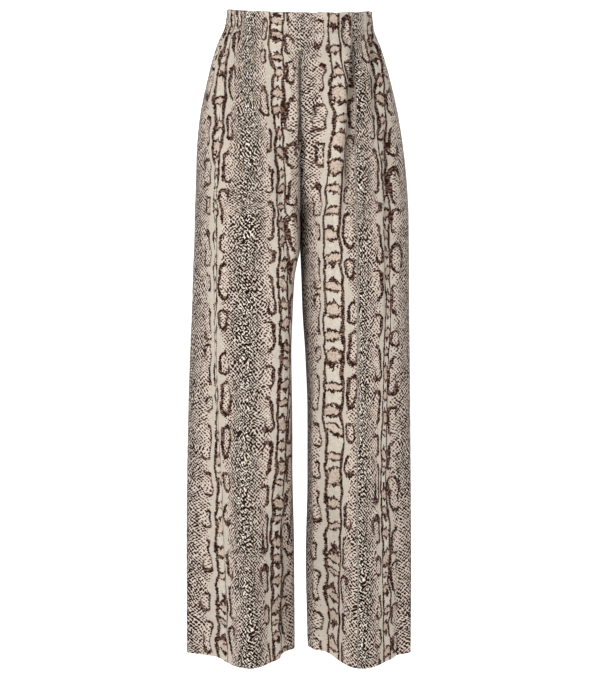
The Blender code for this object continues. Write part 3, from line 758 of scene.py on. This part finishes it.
def laid_sheet(name, places, cloth, flip, split=None):
    """A grid whose crossings lie at places[row][column], with its UV map in metres.

    At a split column the cloth coordinates differ on the two sides, as at a seam: cloth is
    then a pair of tables, one for the columns before it and one for those after.
    """
    rows, columns = places.shape[0] - 1, places.shape[1] - 1
    mesh = bmesh.new()
    bmesh.ops.create_grid(mesh, x_segments=columns, y_segments=rows, size=0.5)
    uv = mesh.loops.layers.uv.new("cloth")
    spot = {
        vert: (round((0.5 - vert.co.y) * rows), round((vert.co.x + 0.5) * columns))
        for vert in mesh.verts
    }
    for face in mesh.faces:
        middle = sum(spot[vert][1] for vert in face.verts) / 4
        table = cloth[0] if split is None or middle < split else cloth[1]
        for loop in face.loops:
            loop[uv].uv = table[spot[loop.vert]]
    for vert, (row, column) in spot.items():
        vert.co = places[row, column]
    if flip:
        bmesh.ops.reverse_faces(mesh, faces=mesh.faces)
    piece = finished(name, mesh)
    thicken = piece.modifiers.new("cloth_thickness", "SOLIDIFY")
    thicken.thickness = CLOTH_THICKNESS
    thicken.offset = -1.0
    thicken.use_even_offset = False
    thicken.material_offset = 1
    thicken.material_offset_rim = 0
    return piece


def cut_area(cloth, path):
    """Width, length and area of a cut piece, from its cloth coordinates."""
    across = np.abs(cloth[:, -1, 0] - cloth[:, 0, 0])
    steps = np.array(path)
    down = np.concatenate(([0.0], np.cumsum(np.hypot(np.diff(steps[:, 0]), np.diff(steps[:, 1])))))
    area = float(np.sum((across[1:] + across[:-1]) / 2 * np.diff(down)))
    return float(across.max()), float(down[-1]), area


# %% Lay the legs
LEG_COLUMNS = 168
cloth_pieces = {}
flat_sizes = {}
for face_name in ("front", "back"):
    for leg_name in LEGS:
        path = leg_path()
        rows = [cloth_row(leg_name, face_name, h, LEG_COLUMNS, back) for h, back in path]
        places = np.array([row[0] for row in rows])
        cloth = np.array([row[1] for row in rows])
        below = np.concatenate(([0.0], np.cumsum(np.linalg.norm(
            np.diff(places[:, LEG_COLUMNS // 2], axis=0), axis=1))))
        cloth[:, :, 1] = -below[:, None] + CUT_ORIGIN[leg_name, face_name][1]
        name = f"{face_name}_{leg_name}_cloth"
        flip = (LEGS[leg_name]["sign"] > 0) != (face_name == "front")
        cloth_pieces[name] = laid_sheet(name, places, (cloth, cloth), flip)
        flat_sizes[name] = cut_area(cloth, path)
        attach(cloth_pieces[name], "root")
        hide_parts(f"{face_name}_{leg_name}")
        print(name, "cut", [round(size, 3) for size in flat_sizes[name]])

# %% Lay the waistband
BAND_COLUMNS = 150
for face_name in ("front", "back"):
    path = casing_path()
    halves = []
    for leg_name in LEGS:
        rows = [cloth_row(leg_name, face_name, h, BAND_COLUMNS, back) for h, back in path]
        places = np.array([row[0] for row in rows])
        cloth = np.array([row[1] for row in rows])
        up = np.array([h if back == 0.0 else 2 * BAND_TOP - h for h, back in path])
        cloth[:, :, 1] = (up - PANEL_TOP)[:, None] + CUT_ORIGIN[leg_name, face_name][1]
        halves.append((places, cloth))
    (right_places, right_cloth), (left_places, left_cloth) = halves
    middle = (right_places[:, :1] + left_places[:, :1]) / 2
    places = np.concatenate((right_places[:, :0:-1], middle, left_places[:, 1:]), axis=1)
    before = np.concatenate((right_cloth[:, ::-1], left_cloth[:, 1:]), axis=1)
    after = np.concatenate((right_cloth[:, :0:-1], left_cloth), axis=1)
    name = f"waistband_{face_name}_cloth"
    cloth_pieces[name] = laid_sheet(
        name, places, (before, after), flip=face_name == "front", split=BAND_COLUMNS
    )
    widths = [cut_area(half, path) for half in (right_cloth, left_cloth)]
    flat_sizes[name] = (
        widths[0][0] + widths[1][0], widths[0][1], widths[0][2] + widths[1][2],
    )
    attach(cloth_pieces[name], "root")
    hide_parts(f"waistband_{face_name}")
    print(name, "cut", [round(size, 3) for size in flat_sizes[name]])

# %% [markdown]
# ## Stitches
#
# The casing is closed by a row of machine stitches just above its seam, and the hems are caught
# by the small pricks of a blind stitch. In life they are one thread that dips through the cloth;
# only the part on top is made here, as a drawn-out ball half sunk in the cloth. Fine topstitching
# could also be a bump in the material, but a bump has no edge when it is seen from the side.

# %% Sew
THREAD_THICKNESS = 0.00045
CASING_STITCH = dict(height=-0.0125, spacing=0.0031, length=0.0024)
HEM_STITCH = dict(height=HEM_LEVEL + HEM_TURN, spacing=0.0088, length=0.0012)
FINE_COLUMNS = 700
LOOK_AHEAD = 0.0006           # from a stitch to the point that it is turned to


def even_places(leg, face, height, spacing):
    """Evenly spaced places along a row, with the direction of the row at each."""
    row, _ = cloth_row(leg, face, height, FINE_COLUMNS, 0.0)
    along = np.concatenate(([0.0], np.cumsum(np.linalg.norm(np.diff(row, axis=0), axis=1))))
    count = int(along[-1] / spacing)
    at = np.linspace(spacing / 2, along[-1] - spacing / 2, count)
    here = np.stack([np.interp(at, along, axis) for axis in row.T], axis=1)
    ahead = np.stack([np.interp(at + LOOK_AHEAD, along, axis) for axis in row.T], axis=1)
    return here, ahead - here


def sew_row(name, height, spacing, length):
    """A row of stitches round both fronts and both backs."""
    mesh = bmesh.new()
    count = 0
    for face_name in ("front", "back"):
        for leg_name in LEGS:
            for place, way in zip(*even_places(leg_name, face_name, height, spacing)):
                turn = Vector(way).to_track_quat("X", "Z").to_matrix().to_4x4()
                size = Matrix.Diagonal((length, THREAD_THICKNESS, THREAD_THICKNESS, 1.0))
                lay = Matrix.Translation(Vector(place)) @ turn @ size
                bmesh.ops.create_icosphere(mesh, subdivisions=1, radius=0.5, matrix=lay)
                count += 1
    piece = finished(name, mesh)
    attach(piece, "root")
    print(name, "has", count, "stitches")
    return piece


stitches = [
    sew_row("casing_stitches", **CASING_STITCH),
    sew_row("hem_stitches", **HEM_STITCH),
]

# %% [markdown]
# ## Mixing the print
#
# The print imitates python skin. Across the cloth it repeats a broad saddle of granular scales,
# a narrow ladder, a second saddle, a wavy cream stripe and a wide ladder of cream and rosy
# blocks. It is drawn in nodes, because an image would blur close up. Wiring that many nodes by
# hand is slow to read, so the small class below lets a mask be written as arithmetic: adding
# or comparing two fields adds the Math node that does it.

# %% Arithmetic that wires nodes


class Field:
    """A number that varies over the cloth, held by a node's output."""

    tree = None

    def __init__(self, socket):
        self.socket = socket

    def __add__(self, other):
        return math_node("ADD", self, other)

    def __sub__(self, other):
        return math_node("SUBTRACT", self, other)

    def __rsub__(self, other):
        return math_node("SUBTRACT", other, self)

    def __mul__(self, other):
        return math_node("MULTIPLY", self, other)

    def __truediv__(self, other):
        return math_node("DIVIDE", self, other)

    def __lt__(self, other):
        return math_node("LESS_THAN", self, other)

    def __gt__(self, other):
        return math_node("GREATER_THAN", self, other)

    __radd__ = __add__
    __rmul__ = __mul__


def feed(node_input, value):
    """Wires a field to a node's input, or sets it to a number."""
    if isinstance(value, Field):
        Field.tree.links.new(value.socket, node_input)
    else:
        node_input.default_value = value


def math_node(operation, *values):
    """The field that one Math node works out."""
    node = Field.tree.nodes.new("ShaderNodeMath")
    node.operation = operation
    for node_input, value in zip(node.inputs, values):
        feed(node_input, value)
    return Field(node.outputs[0])


def absolute(value):
    return math_node("ABSOLUTE", value)


def whole(value):
    return math_node("FLOOR", value)


def fraction(value):
    return math_node("FRACT", value)


def larger(a, b):
    return math_node("MAXIMUM", a, b)


def smaller(a, b):
    return math_node("MINIMUM", a, b)


def vector_of(x, y=0.0):
    """Two fields or numbers as one vector."""
    node = Field.tree.nodes.new("ShaderNodeCombineXYZ")
    feed(node.inputs[0], x)
    feed(node.inputs[1], y)
    return node.outputs[0]


def split(socket):
    """The three numbers of a colour or a vector."""
    node = Field.tree.nodes.new("ShaderNodeSeparateXYZ")
    Field.tree.links.new(socket, node.inputs[0])
    return [Field(output) for output in node.outputs]


def noise(x, y=None, scale=1.0, detail=0.0, seed=0.0):
    """Smooth noise from about 0.2 to 0.8, along a line or over the cloth."""
    node = Field.tree.nodes.new("ShaderNodeTexNoise")
    node.noise_dimensions = "1D" if y is None else "2D"
    node.inputs["Scale"].default_value = scale
    node.inputs["Detail"].default_value = detail
    if y is None:
        feed(node.inputs["W"], x + seed)
    else:
        Field.tree.links.new(vector_of(x + seed, y), node.inputs["Vector"])
    return Field(node.outputs[0])


def chances(x, y=0.0, seed=0.0):
    """Three different numbers from 0 to 1 for each pair of whole numbers."""
    node = Field.tree.nodes.new("ShaderNodeTexWhiteNoise")
    node.noise_dimensions = "2D"
    Field.tree.links.new(vector_of(x + seed, y), node.inputs["Vector"])
    return split(node.outputs["Color"])


def rise(value, low, high):
    """0 below low, 1 above high and an even slope between."""
    node = Field.tree.nodes.new("ShaderNodeMapRange")
    feed(node.inputs["Value"], value)
    feed(node.inputs["From Min"], low)
    feed(node.inputs["From Max"], high)
    return Field(node.outputs[0])


NUMBERS_A_B, COLOURS_A_B = (2, 3), (6, 7)       # a Mix node's sockets for each kind


def laid_on(base, tone, mask):
    """A tone printed over another where the mask is 1."""
    node = Field.tree.nodes.new("ShaderNodeMix")
    feed(node.inputs["Factor"], mask)
    for number, value in zip(NUMBERS_A_B, (base, tone)):
        feed(node.inputs[number], value)
    return Field(node.outputs[0])


# %% [markdown]
# ### The plan of the print
#
# All sizes are in millimetres of flat cloth, measured from the middle of the main saddle. The
# scales stand in a grid turned by 45 degrees. Every edge of a ring, block or line is read at the
# middle of the scale that it crosses, not at the point itself, so it comes out as fine steps,
# which is what makes the print read as skin and not as paint.

# %% Sizes of the print
REPEAT_WIDTH = 270.0
REPEAT_START = -98.0
DOT_PITCH = 4.4                                     # from one dark dot to the next
SCALE_PITCH = DOT_PITCH / 2                         # side of the smallest scale
SWAY, SWAY_SCALE = 19.0, 0.02                       # how far the whole drawing wavers
SADDLES = ((-0.5, 45.5), (127.5, 44.5))             # middle and half width of each
LADDERS = ((-72.5, 13.5), (67.0, 8.5))
LINES = (                                           # middle, thickness and how much it varies
    (-88.0, 2.7, 4.6), (-57.0, 2.9, 5.0), (57.4, 3.6, 5.2), (76.2, 2.2, 3.8),
)
LINE_WAVER = 3.0
print("the print repeats every", REPEAT_WIDTH, "mm across")


def between(chance, least, most):
    """The number that a chance from 0 to 1 picks between two others."""
    return chance * (most - least) + least


# %% Rings
RING_STEP, RING_DRIFT = 66.0, 70.0              # from one to the next, and how far they stray
EDGE_SHIFT = 0.37                               # share of a step between one edge and another
RING_HALF_LONG, RING_HALF_WIDE = (17.0, 29.0), (8.0, 11.0)
RING_CORNER = 0.3                               # by how much its corners fall short of round
RING_LEAN, OPENING_LEAN = 0.25, 0.9
RING_BULGE = 3.0                                # how far a ring swells the saddle's edge
RING_OPENING = (0.1, 1.0)                       # share of its half width that the stroke covers
STROKE, STROKE_INSET = (3.0, 4.2), 1.4          # half thickness, and place inside the outline
FINER_ON_SECOND = 0.5
RAGGED_RING, RAGGED_STROKE, RAGGED_GAP = 5.0, 3.6, 12.0
PALE_WITHIN = (1.0, -4.0)                       # distance from the outline
GAP_BITE = (1.0, 6.0)                           # how far a gap eats into the saddle
GAP_PALE_STARTS, GAP_PALE_ENDS = (1.0, 7.0), (12.0, 24.0)
GAP_WITH_LINE, GAP_LINE_INSET, GAP_LINE_FINER = 0.7, 2.0, 0.6


def rounded_box(x, y, half_x, half_y, radius):
    """Distance outside a box with rounded corners, negative within it."""
    over_x = absolute(x) - half_x + radius
    over_y = absolute(y) - half_y + radius
    corner_x, corner_y = larger(over_x, 0.0), larger(over_y, 0.0)
    outside = math_node("SQRT", corner_x * corner_x + corner_y * corner_y)
    return outside + smaller(larger(over_x, over_y), 0.0) - radius


def rings(u, v, on_second):
    """Hooked rings along the edges of the saddles: (stroke, paleness, saddle, inward).

    Each leans on its edge and is open, fully or in part, towards the saddle's middle. The skin
    is paler inside a ring and where two rings leave a gap on the edge.
    """
    (middle_a, half_a), (middle_b, half_b) = SADDLES
    off = u - (on_second * (middle_b - middle_a) + middle_a)
    edge = (off > 0.0) + on_second * 2.0
    inward = on_second * (half_b - half_a) + half_a - absolute(off)
    drift = noise(v, scale=0.0105, seed=edge * 17.0 + 3.0)
    step = (v + (drift - 0.5) * RING_DRIFT) / RING_STEP + edge * EDGE_SHIFT
    cell = whole(step)
    long, wide, opened = chances(cell, edge, 1.0)
    tilt, bold, gap = chances(cell, edge, 2.0)
    up = (fraction(step) - 0.5) * RING_STEP
    lean = (tilt - 0.5) * up
    ragged = noise(u, v, scale=0.10, detail=3.0) - 0.5

    half_long, half_wide = between(long, *RING_HALF_LONG), between(wide, *RING_HALF_WIDE)
    into = inward + RING_BULGE - half_wide + lean * RING_LEAN + ragged * RAGGED_RING
    distance = rounded_box(into, up, half_wide, half_long, half_wide - RING_CORNER)
    thick = between(bold, *STROKE) + ragged * RAGGED_STROKE - on_second * FINER_ON_SECOND
    opening = between(opened, *RING_OPENING) * half_wide + lean * OPENING_LEAN
    stroke = (absolute(distance + STROKE_INSET) < thick) * (into < opening)
    within = rise(distance, *PALE_WITHIN)

    between_rings = distance > 0.0
    on_edge = absolute(inward - GAP_LINE_INSET) < (thick - GAP_LINE_FINER)
    gap_line = on_edge * (gap > GAP_WITH_LINE) * between_rings
    fading = rise(inward, between(gap, *GAP_PALE_STARTS), between(gap, *GAP_PALE_ENDS))
    near_gap = (1.0 - fading) * between_rings
    past_gap = inward > (between(gap, *GAP_BITE) + ragged * RAGGED_GAP)
    saddle = larger(distance < 1.0, past_gap)
    return larger(stroke, gap_line), larger(within, near_gap), saddle, inward


# %% Ladders
LADDER_STEPS = (40.2, 32.9)             # height of a block and the cream below it
LADDER_DRIFT, LADDER_SHIFT = 0.8, 0.3   # in steps
# and in shares of a step:
BLOCK_FOOT, BLOCK_HEAD = (0.25, 0.31), (0.60, 0.70)
BLOCK_LEAN, BLOCK_WAVER, HEAD_BEND = 0.16, 0.18, 0.05
MARK, MARK_OVER_FOOT = 0.05, 0.04       # how far the dark marks reach past a block's ends
HUMP, HUMP_NARROWS, HUMP_UNDER = (0.06, 0.16), 2.2, 0.3     # the mark above it arches
DROP, DROP_NARROWS = (0.06, 0.22), 1.3                      # and the one below runs to a point


def ladder(u, v, which):
    """Blocks stacked between two lines: (rosy block, dark marks)."""
    middle, half = LADDERS[which]
    across = (u - middle) / half
    bent = absolute(across)
    drift = noise(v, scale=0.02, seed=which * 9.0 + 50.0)
    step = v / LADDER_STEPS[which] + drift * LADDER_DRIFT + which * LADDER_SHIFT
    long, tall, deep = chances(whole(step), which + 5.0, 3.0)
    waver = noise(u, v, scale=0.20, seed=which * 40.0) - 0.5
    part = fraction(step) + (tall - 0.5) * across * BLOCK_LEAN + waver * BLOCK_WAVER
    low = between(long, *BLOCK_FOOT)
    high = between(tall, *BLOCK_HEAD) - bent * bent * HEAD_BEND
    hump = larger(1.0 - bent * bent * HUMP_NARROWS, 0.0) * between(tall, *HUMP)
    drop = larger(1.0 - bent * DROP_NARROWS, 0.0) * between(deep, *DROP)
    block = (part > low) * (part < high)
    cap = (part > (high - MARK + hump * HUMP_UNDER)) * (part < (high + MARK + hump))
    tip = (part < (low + MARK_OVER_FOOT)) * (part > (low - MARK - drop))
    return block, larger(cap, tip)


def edge_lines(u, v):
    """The dark lines that edge the ladders, which waver and swell."""
    drawn = None
    for number, (place, thickness, varies) in enumerate(LINES):
        swell = noise(v, scale=0.06, detail=3.0, seed=number * 13.0)
        half = (swell * varies + thickness) / 2.0
        line = absolute(u - place + (swell - 0.5) * LINE_WAVER) < half
        drawn = line if drawn is None else larger(drawn, line)
    return drawn


# %% [markdown]
# ### The skin between the rings
#
# Inside its rings a saddle is covered with small dark dots, which grow larger and blacker
# towards its heart. Each dot stands in a cell of a slanted grid, twice as coarse as the scales'
# own, and the cell's chances give its size, its shape and its shade, so no two are alike and
# nothing repeats. A Voronoi texture would also give cells, but not their rows.

# %% Dots on a slanted grid
DOT_WAVER, WAVER_DOWN = (3.5, 7.0), 0.6     # at the saddle's edge and in its heart, in mm
# in cells:
DOT_SIZE, DOT_SLIM = (0.293, 0.443), (0.712, 1.068)
LARGER_IN_HEART, SMALLER_IF_PALE = 0.075, 0.08
BLOTS = (0.5, 0.9)                          # how unevenly dots merge, at the edge and the heart
# in tone, from 0, dark brown, to 1, cream:
SKIN_TONE, LIGHTER_IN_HEART = (0.62, 0.74), 0.24
DOT_TONE, DARKER_IN_HEART, LIGHTER_IF_PALE = (0.045, 0.105), 0.04, 0.12


def scale_grid(u, v, pitch):
    """The slanted grid: a scale's two row numbers, and the place in it from -0.5 to 0.5."""
    side = pitch * math.sqrt(2.0)
    along, across = (u + v) / side, (v - u) / side
    return whole(along), whole(across), fraction(along) - 0.5, fraction(across) - 0.5


def skin(u, v, heart, pale):
    """Granular skin: dark dots on taupe, larger and black on cream along the heart."""
    waver = (noise(u, v, scale=0.17, detail=1.0, seed=90.0) - 0.5) * between(heart, *DOT_WAVER)
    row_a, row_b, dot_a, dot_b = scale_grid(u + waver, v - waver * WAVER_DOWN, DOT_PITCH)
    slim, size, shade = chances(row_a, row_b, 7.0)
    slimmest, widest = DOT_SLIM
    off_a, off_b = dot_a * between(slim, slimmest, widest), dot_b * between(slim, widest, slimmest)
    from_dot = math_node("SQRT", off_a * off_a + off_b * off_b)
    blots = (noise(u, v, scale=0.31, detail=1.0, seed=300.0) - 0.5) * between(heart, *BLOTS)
    reach = between(size, *DOT_SIZE) + heart * LARGER_IN_HEART - pale * SMALLER_IF_PALE + blots
    light = between(shade, *SKIN_TONE) + heart * LIGHTER_IN_HEART
    dark = between(shade, *DOT_TONE) - heart * DARKER_IN_HEART + pale * LIGHTER_IF_PALE
    return laid_on(light, dark, from_dot < reach)


# %% [markdown]
# ### All of it together
#
# The parts are laid over each other like the passes of a screen print: the cream ground, the
# saddles with their skin and rings, the ladders with their blocks and marks, and the dark lines
# last. A second field keeps how rosy each place is.

# %% The print's tone and tint
CREAM_TONE, CREAMIER_IN_LADDER = (0.78, 0.83), 0.02
BLACK_SCALE, BROWN_SCALE = (0.03, 0.11), (0.24, 0.34)       # the tones of the dark drawing
BLACK_SHARE = 0.62                                          # of its scales
BLOCK_TONES = ((0.42, 0.74), (0.36, 0.68))                  # on each ladder
HEART_FROM_EDGE, HEART_PATCHES = (20.0, 40.0), 36.0         # in mm
HEART_SLIMMER_ON_SECOND = 6.0
SKIN_ROSY = 0.2


def scales(u, v):
    """The middle of the scale that holds a point, folded into one repeat, and its chances."""
    row_a, row_b, _, _ = scale_grid(u, v, SCALE_PITCH)
    bead, luck, _ = chances(row_a, row_b, 5.0)
    half_side = SCALE_PITCH / math.sqrt(2.0)
    run = (row_a - row_b) * half_side - REPEAT_START
    folded = run - whole(run / REPEAT_WIDTH) * REPEAT_WIDTH + REPEAT_START
    return folded, (row_a + row_b + 1.0) * half_side, bead, luck


def snakeskin_tone():
    """Two fields: the print's tone from 0, dark brown, to 1, cream, and how rosy it is."""
    uv = Field.tree.nodes.new("ShaderNodeUVMap")
    uv.uv_map = "cloth"
    flat_u, flat_v, _ = (part * MILLIMETRES for part in split(uv.outputs[0]))
    drawn_u, drawn_v = (
        flat + (noise(flat_u, flat_v, scale=SWAY_SCALE, detail=2.0, seed=seed) - 0.5) * SWAY
        for flat, seed in ((flat_u, 4.0), (flat_v, 700.0))
    )
    u, v, bead, luck = scales(drawn_u, drawn_v)
    cream = between(luck, *CREAM_TONE)
    dark = laid_on(between(luck, *BLACK_SCALE), between(luck, *BROWN_SCALE), bead > BLACK_SHARE)

    # saddles
    (middle_a, half_a), (middle_b, half_b) = SADDLES
    on_second = u > ((middle_a + half_a + middle_b - half_b) / 2)
    stroke, pale, here, inward = rings(u, v, on_second)
    patchy = noise(flat_u, flat_v, scale=0.04, detail=2.0, seed=11.0) - 0.5
    deep_in = inward + patchy * HEART_PATCHES - on_second * HEART_SLIMMER_ON_SECOND
    heart = rise(deep_in, *HEART_FROM_EDGE)
    saddle = laid_on(skin(drawn_u, drawn_v, heart, pale), dark, stroke)
    tone = laid_on(cream, saddle, here)
    rosy = here * SKIN_ROSY

    # ladders
    for which, (middle, half) in enumerate(LADDERS):
        blocks, marks = ladder(u, v, which)
        inner = laid_on(cream + CREAMIER_IN_LADDER, between(bead, *BLOCK_TONES[which]), blocks)
        inner = laid_on(inner, dark, marks)
        here = absolute(u - middle) < half
        tone = laid_on(tone, inner, here)
        rosy = laid_on(rosy, blocks, here)
    return laid_on(tone, dark, edge_lines(u, v)), rosy


# %% [markdown]
# ### From tone to cloth
#
# One ramp turns the tone into the print's inks, from warm black through taupe to the cream of
# the ground cloth, and a rosier ink is mixed in on the ladders' blocks and, faintly, on the
# saddles. Crepe is matt with a soft sheen at grazing angles, and its overtwisted yarns make a
# fine pebble, which is a bump of under half a millimetre. The reverse of a printed cloth shows
# the same print, washed out.

# %% Inks and crepe
INKS = (
    # place on the ramp, and the colour as a screen shows it
    (0.00, (24, 8, 4)),
    (0.12, (55, 34, 29)),
    (0.30, (103, 79, 70)),
    (0.46, (153, 132, 121)),
    (0.62, (195, 182, 170)),
    (0.74, (202, 190, 178)),
    (0.80, (177, 168, 155)),
    (0.90, (216, 207, 194)),
    (1.00, (232, 223, 210)),
)
ROSY_INK = (180, 161, 143)
ROSY_STRENGTH = 0.5
ROSY_FROM, ROSY_TO = (0.22, 0.5), (0.72, 0.9)      # the tones between which the tint comes and goes
WASHED_OUT_INK = (214, 206, 194)
YARN_SCALE, YARN_BUMP, YARN_HEIGHT = 1900.0, 0.10, 0.0004


def ink(colour):
    """A screen colour as the linear colour that shaders want."""
    linear = [
        c / 255 / 12.92 if c / 255 <= 0.04045 else ((c / 255 + 0.055) / 1.055) ** 2.4
        for c in colour
    ]
    return (*linear, 1.0)


def mixed(first, second, share):
    """Two colours mixed by a share from 0 to 1. The second is an ink."""
    node = Field.tree.nodes.new("ShaderNodeMix")
    node.data_type = "RGBA"
    feed(node.inputs["Factor"], share)
    socket_a, socket_b = (node.inputs[number] for number in COLOURS_A_B)
    Field.tree.links.new(first, socket_a)
    socket_b.default_value = ink(second)
    return node.outputs[2]


def bumped(shader, height, strength, depth):
    """Gives a shader a bump from a field of heights."""
    bump = Field.tree.nodes.new("ShaderNodeBump")
    bump.inputs["Strength"].default_value = strength
    bump.inputs["Distance"].default_value = depth
    Field.tree.links.new(height, bump.inputs["Height"])
    Field.tree.links.new(bump.outputs[0], shader.inputs["Normal"])


def crepe(name, washed_out):
    """Printed crepe. washed_out is how much of the print the reverse has lost."""
    material = bpy.data.materials.new(name)
    material.use_nodes = True
    tree = material.node_tree
    Field.tree = tree
    shader = tree.nodes["Principled BSDF"]
    tone, rosy = snakeskin_tone()
    ramp = tree.nodes.new("ShaderNodeValToRGB")
    stops = ramp.color_ramp.elements
    while len(stops) < len(INKS):
        stops.new(0.5)
    for stop, (position, _) in zip(stops, INKS):
        stop.position = position
    for stop, (_, stop_ink) in zip(stops, INKS):
        stop.color = ink(stop_ink)
    tree.links.new(tone.socket, ramp.inputs[0])
    mid_tone = rise(tone, *ROSY_FROM) * (1.0 - rise(tone, *ROSY_TO))
    colour = mixed(ramp.outputs[0], ROSY_INK, mid_tone * rosy * ROSY_STRENGTH)
    if washed_out:
        colour = mixed(colour, WASHED_OUT_INK, washed_out)
    tree.links.new(colour, shader.inputs["Base Color"])
    shader.inputs["Roughness"].default_value = 0.78
    shader.inputs["Specular IOR Level"].default_value = 0.03
    shader.inputs["Sheen Weight"].default_value = 0.03
    shader.inputs["Sheen Roughness"].default_value = 0.45
    shader.inputs["Sheen Tint"].default_value = (1.0, 0.86, 0.74, 1.0)
    pebble = tree.nodes.new("ShaderNodeTexNoise")
    pebble.inputs["Scale"].default_value = YARN_SCALE
    pebble.inputs["Detail"].default_value = 2.0
    place = tree.nodes.new("ShaderNodeUVMap")
    place.uv_map = "cloth"
    tree.links.new(place.outputs[0], pebble.inputs["Vector"])
    bumped(shader, pebble.outputs[0], YARN_BUMP, YARN_HEIGHT)
    print(name, "has", len(tree.nodes), "nodes")
    return material


# %% Thread
# from painted shade in the grooves between the plies to the taupe of their crests
THREAD_INKS_SHADED_IN_GROOVES = ((104, 84, 73), (158, 138, 124))
PLY_WAVES, PLY_LEAN = 9000.0, 1.7
PLY_BUMP, PLY_HEIGHT = 0.4, 0.0001


def twisted_thread():
    """Taupe polyester, a little shinier than the cloth, with leaning plies and painted shade
    between them.
    """
    material = bpy.data.materials.new("taupe_thread")
    material.use_nodes = True
    tree = material.node_tree
    Field.tree = tree
    shader = tree.nodes["Principled BSDF"]
    place = tree.nodes.new("ShaderNodeTexCoord")
    x, y, z = split(place.outputs["Object"])
    ply = math_node("SINE", (x + y + z * PLY_LEAN) * PLY_WAVES) * 0.5 + 0.5
    # the thread's colour follows the plies' height, which paints shade into the grooves between
    # them
    ramp = tree.nodes.new("ShaderNodeValToRGB")
    for stop, colour in zip(ramp.color_ramp.elements, THREAD_INKS_SHADED_IN_GROOVES):
        stop.color = ink(colour)
    tree.links.new(ply.socket, ramp.inputs[0])
    tree.links.new(ramp.outputs[0], shader.inputs["Base Color"])
    shader.inputs["Roughness"].default_value = 0.5
    shader.inputs["Sheen Weight"].default_value = 0.15
    bumped(shader, ply.socket, PLY_BUMP, PLY_HEIGHT)
    return material


thread = twisted_thread()
for row in stitches:
    row.data.materials.append(thread)
face_side = crepe("printed_crepe", washed_out=0.0)
reverse_side = crepe("crepe_reverse", washed_out=0.55)
for piece in cloth_pieces.values():
    piece.data.materials.append(face_side)
    piece.data.materials.append(reverse_side)

# %% [markdown]
# ## The cut sizes
#
# The size of each sheet, as cut, comes from its cloth coordinates: the width counts what the
# elastic has gathered in, and the length counts the turned hem or the casing.

for name, piece in cloth_pieces.items():
    width, length, area = flat_sizes[name]
    min(area, width * length)
print("cut cloth in all:", round(sum(size[2] for size in flat_sizes.values()), 3), "m2")
